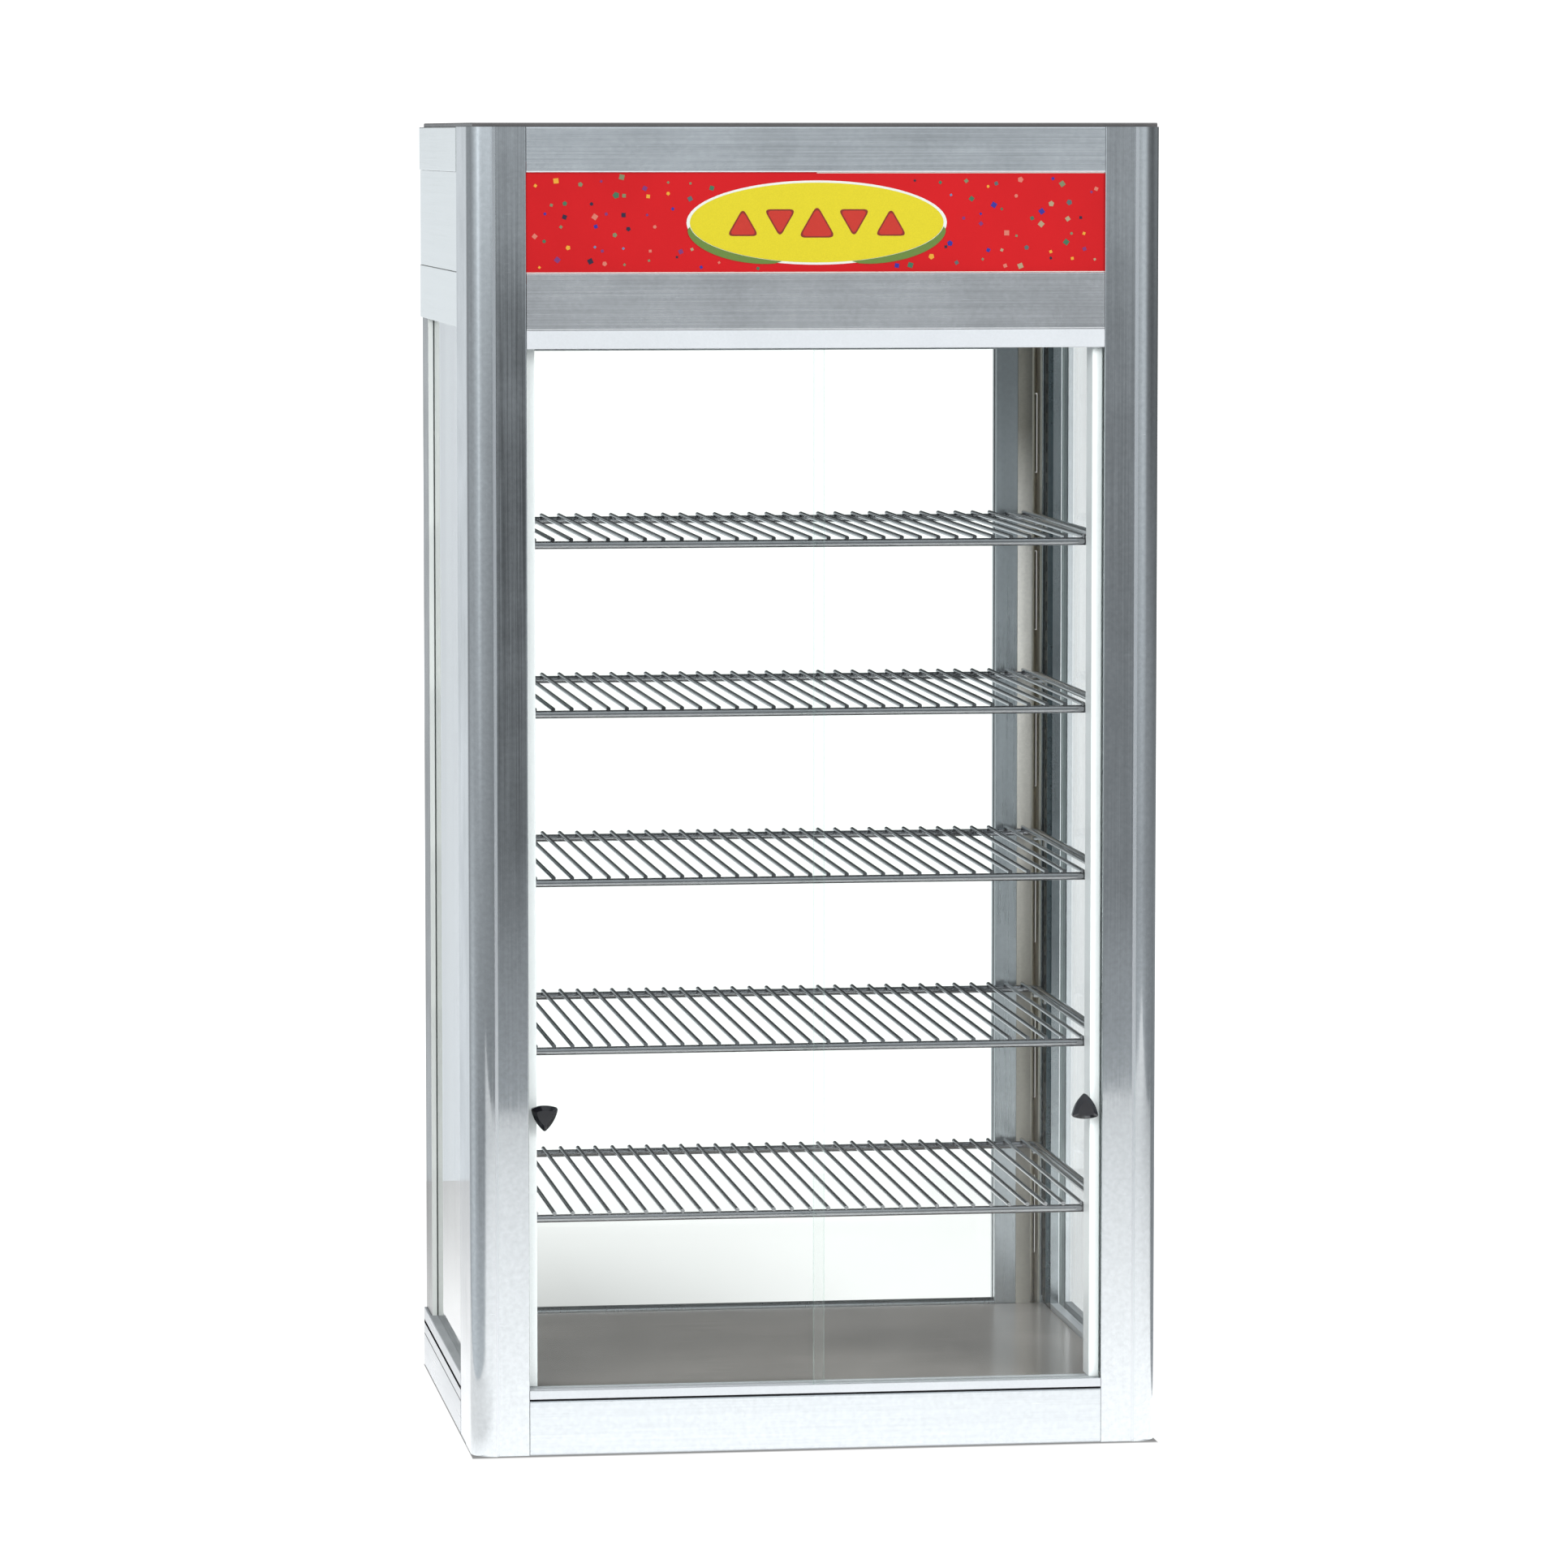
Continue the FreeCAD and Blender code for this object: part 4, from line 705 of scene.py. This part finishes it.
def strips():
    # The black strips under the bottom track and in the base slots are painted shadow.
    black = rubber_and_shadow("shadow_black", (0.012, 0.012, 0.013), 0.6, 0.15)
    seam = rubber_and_shadow("seam_grey", (0.19, 0.19, 0.19), 0.6, 0.1)
    gasket = rubber_and_shadow("glazing_gasket", (0.36, 0.37, 0.375), 0.5, 0.08)
    track_low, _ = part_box("bottom_door_track")
    base_low, base_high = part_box("front_base_panel")
    strip("track_shadow_strip", (base_low.x, base_high.x),
          [track_low.y + depth for depth in SHADOW_DEPTHS],
          [base_high.z + height for height in SHADOW_HEIGHTS], black)
    side_strips(-1, "left_base_panel", "left_side_glass", black, seam, gasket)
    side_strips(1, "right_base_panel", "right_side_glass", black, seam, gasket)
    stile_low, stile_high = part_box("rear_door_stiles")
    seal_x = stile_high.x - SEAL_SIDE_INSET
    strip("door_seal", (seal_x - SEAL_WIDTH, seal_x), (stile_low.y - SEAL_THICKNESS, stile_low.y),
          (stile_low.z + SEAL_END_INSET, stile_high.z - SEAL_END_INSET), seal_brown(), "rear_door")


# --- stage, light and camera ------------------------------------------------------------
# The table's outline round the cabinet, which stands near its left edge.
TABLE = ((-0.60, 1.25), (-0.60, -0.50), (-2.05, -2.15), (0.1, -2.15), (2.2, -2.5), (2.2, 0.12),
         (0.40, -0.08), (0.56, 1.25))
TABLE_Z = -0.0006
SIDE_X, END_Y = 0.2625, 0.212       # the cabinet's outline on the table
SIDE_STEEPNESS = 8.0                # the painted contact shadow is that much thinner along the sides

# Ranges on the floor: a distance from and to, then the value at each.
CONTACT_SHADOW = (-0.001, 0.006, 0.25, 1.0)
SHADE_START, SHADE_END = (0.2, 0.22, 0.0, 1.0), (0.4, 1.1, 1.0, 0.0)
SHADE_LEFT, SHADE_RIGHT = (-0.22, -0.17, 0.0, 1.0), (-0.10, 0.15, 1.0, 0.0)
SHADE_LEVEL = 0.55
BESIDE_X, BESIDE_Y = (-0.34, -0.265, 1.0, 0.0), (-0.6, -0.3, 0.0, 1.0)
BESIDE_LEVEL = 0.72                 # the table's narrow part left of the cabinet is dimmer
GLOW_BY_REACH = (0.35, 2.1, 0.95, 0.05)
FLOOR_TONE = (0.5, 0.5, 0.5)
SEEN_FLOOR = 1.1                    # the floor's brightness to the camera


def floor_level(nt, at):
    """One on the open table, less on the painted contact shadow and in the painted soft shade
    behind.
    """
    shade = times(nt, remap(nt, at["Y"], *SHADE_START), remap(nt, at["Y"], *SHADE_END),
                  remap(nt, at["X"], *SHADE_RIGHT), remap(nt, at["X"], *SHADE_LEFT))
    across = math_node(nt, "ABSOLUTE", at["X"])
    deep = math_node(nt, "ABSOLUTE", at["Y"])
    beside = times(nt, math_node(nt, "SUBTRACT", across, SIDE_X), SIDE_STEEPNESS)
    gap = math_node(nt, "MAXIMUM", beside, math_node(nt, "SUBTRACT", deep, END_Y))
    return times(nt, remap(nt, shade, 0.0, 1.0, 1.0, SHADE_LEVEL), remap(nt, gap, *CONTACT_SHADOW))


def stage_floor():
    """White to the camera, with a thin painted contact shadow.

    Reflections see it pale near the object and dimmer far off.
    """
    floor = new_object("floor", [(x, y, 0) for x, y in TABLE], [tuple(range(len(TABLE)))])
    floor.location.z = TABLE_Z
    mat, nt, bsdf = new_material("floor_pale")
    spot = place(nt)
    at = add(nt, "SeparateXYZ", {0: spot}).outputs
    level = floor_level(nt, at)
    beside = times(nt, remap(nt, at["X"], *BESIDE_X), remap(nt, at["Y"], *BESIDE_Y))
    beside_dim = remap(nt, beside, 0.0, 1.0, 1.0, BESIDE_LEVEL)
    reach = add(nt, "VectorMath", {0: spot}, operation="LENGTH").outputs["Value"]
    glow = times(nt, remap(nt, reach, *GLOW_BY_REACH), beside_dim, level)
    tone = times(nt, beside_dim, vary(nt, noise(nt, spot, 2.0, detail=2.0), 0.01))
    nt.links.new(tinted(nt, FLOOR_TONE, tone), bsdf.inputs["Base Color"])
    nt.links.new(glow, bsdf.inputs["Emission Strength"])
    bsdf.inputs["Emission Color"].default_value = WHITE
    bsdf.inputs["Roughness"].default_value = 0.9
    bsdf.inputs["Specular IOR Level"].default_value = 0.0
    seen_glow = times(nt, level, SEEN_FLOOR)
    plain = add(nt, "Emission", {"Color": WHITE, "Strength": seen_glow})
    seen = add(nt, "LightPath").outputs["Is Camera Ray"]
    whole = mixed_shaders(nt, seen, bsdf, plain)
    nt.links.new(whole.outputs[0], nt.nodes["Material Output"].inputs["Surface"])
    floor.data.materials.append(mat)


# Studio walls. Each row is the height of the direction, then how bright the wall is by bearing in
# degrees: 0 is behind the camera, and + is towards the object's +X side.
WALLS = (
    (-0.172, ((-180, .95), (-168, .85), (-158, .64), (-150, .55), (-130, .80), (-112, .84),
              (-96, .80), (-78, .76), (-17, .70), (-3, .60), (4, .9), (50, .9), (72, .75),
              (95, .5), (115, .34), (145, .45), (165, .9), (180, .95))),
    (-0.145, ((-180, .95), (-168, .80), (-158, .56), (-150, .46), (-130, .68), (-112, .74),
              (-96, .52), (-78, .38), (-17, .34), (-3, .34), (4, .6), (50, .8), (60, .5),
              (85, .35), (101, .32), (119, .28), (150, .38), (180, .9))),
    (-0.105, ((-180, .95), (-168, .75), (-158, .48), (-150, .36), (-130, .58), (-112, .60),
              (-96, .48), (-78, .42), (-17, .35), (-1, .30), (4, .18), (10, .27), (20, .44),
              (36, .48), (46, .42), (60, .36), (85, .32), (101, .30), (119, .28), (150, .35),
              (180, .8))),
    (-0.07, ((-180, .90), (-168, .72), (-158, .40), (-150, .26), (-130, .46), (-112, .48),
             (-96, .46), (-76, .56), (-64, .76), (-54, .50), (-17, .38), (-1, .36), (2, .09),
             (6, .09), (10, .23), (18, .52), (34, .66), (46, .58), (60, .36), (85, .32),
             (110, .24), (150, .16), (180, .08))),
    (-0.035, ((-180, .90), (-168, .74), (-158, .42), (-150, .28), (-130, .44), (-112, .42),
              (-96, .46), (-76, .64), (-64, 1.0), (-54, .56), (-17, .45), (-1, .42), (2, .08),
              (6, .08), (10, .23), (18, .56), (34, .74), (46, .64), (60, .22), (85, .13),
              (110, .18), (150, .12), (180, .06))),
    (0.0, ((-180, .85), (-168, .74), (-158, .50), (-150, .36), (-130, .40), (-112, .33),
           (-96, .50), (-76, .82), (-64, 1.35), (-54, .86), (-44, .80), (-4, .90), (1, .46),
           (6, .36), (12, .37), (20, .60), (34, .78), (46, .68), (60, .22), (85, .14), (118, .28),
           (150, .09), (180, .05))),
    (0.07, ((-180, .30), (-150, .28), (-118, .38), (-96, .56), (-62, 1.1), (-10, .85), (4, .60),
            (10, .40), (34, .68), (70, .3), (120, .2), (150, .05), (180, .05))),
    (0.20, ((-180, .03), (-130, .08), (-100, .5), (-60, .9), (-5, .75), (4, .62), (9, .42),
            (40, .6), (90, .5), (125, .08), (180, .03))),
    (0.60, ((-180, .05), (-120, .15), (-70, .9), (0, 1.0), (70, .9), (120, .15), (180, .05))),
    (0.95, ((-180, .35), (0, 1.0), (180, .35))),
)
WALL_TINT = (0.94, 1.0, 1.05)
BACKDROP = 1.3            # the backdrop's brightness to the camera


def bearing_ramp(nt, bearing, stops):
    node = add(nt, "ValToRGB", {"Fac": bearing})
    elements = node.color_ramp.elements
    while len(elements) < len(stops):
        elements.new(0.5)
    for element, (degrees, level) in zip(elements, stops):
        element.position = degrees / 360 + 0.5
        element.color = (*(level * share for share in WALL_TINT), 1.0)
    return node.outputs["Color"]


def studio_world():
    """White backdrop to the camera. Reflections see grey studio walls and a bright ceiling."""
    world = bpy.data.worlds.new("studio")
    scene.world = world
    world.use_nodes = True
    nt = world.node_tree
    nt.nodes.clear()
    direction = add(nt, "SeparateXYZ", {0: add(nt, "TexCoord").outputs["Generated"]}).outputs
    toward = times(nt, direction["Y"], -1.0)
    angle = math_node(nt, "ARCTAN2", direction["X"], toward)
    bearing = remap(nt, angle, -math.pi, math.pi, 0.0, 1.0)
    below, stops = WALLS[0]
    walls = bearing_ramp(nt, bearing, stops)
    for level, stops in WALLS[1:]:
        part_way = remap(nt, direction["Z"], below, level, 0.0, 1.0)
        walls = mixed(nt, part_way, walls, bearing_ramp(nt, bearing, stops))
        below = level
    studio = add(nt, "Background", {"Color": walls, "Strength": 1.0})
    backdrop = add(nt, "Background", {"Color": WHITE, "Strength": BACKDROP})
    seen = add(nt, "LightPath").outputs["Is Camera Ray"]
    sky = mixed_shaders(nt, seen, studio, backdrop)
    out = add(nt, "OutputWorld")
    nt.links.new(sky.outputs[0], out.inputs["Surface"])


def area_light(name, position, target, size, power):
    """Soft light that reflections don't show."""
    data = bpy.data.lights.new(name, "AREA")
    data.shape = "RECTANGLE"
    data.size, data.size_y = size
    data.energy = power
    light = bpy.data.objects.new(name, data)
    light.location = position
    aim = Vector(target) - Vector(position)
    light.rotation_euler = aim.to_track_quat("-Z", "Y").to_euler()
    light.visible_glossy = False
    scene.collection.objects.link(light)


def lights():
    area_light("key", (-1.8, -3.6, 2.4), (0, 0, 0.5), (1.8, 1.8), 105)
    area_light("fill", (2.2, -3.2, 1.8), (0, 0, 0.5), (1.8, 1.8), 95)
    area_light("back", (0.5, 3.0, 3.0), (0, 0, 0.6), (2.0, 1.6), 60)


CAMERA_AT = (-0.7616, -5.6202, 0.9949)
CAMERA_YAW = 0.1353       # towards +X
CAMERA_PITCH = 0.0890     # downwards
CAMERA_LENS, CAMERA_SENSOR = 167.0, 36.0


def camera():
    data = bpy.data.cameras.new("camera")
    data.sensor_width = CAMERA_SENSOR
    data.lens = CAMERA_LENS
    data.clip_end = 200.0
    cam = bpy.data.objects.new("camera", data)
    scene.collection.objects.link(cam)
    cam.location = CAMERA_AT
    cam.rotation_euler = (math.pi / 2 - CAMERA_PITCH, 0.0, -CAMERA_YAW)
    scene.camera = cam


def main():
    dress_posts()
    dress_skins()
    dress_fittings()
    dress_glass()
    dress_plastics()
    confetti()
    badge()
    strips()
    stage_floor()
    studio_world()
    lights()
    camera()
    scene.view_settings.view_transform = "Standard"
    scene.view_settings.look = "None"


main()
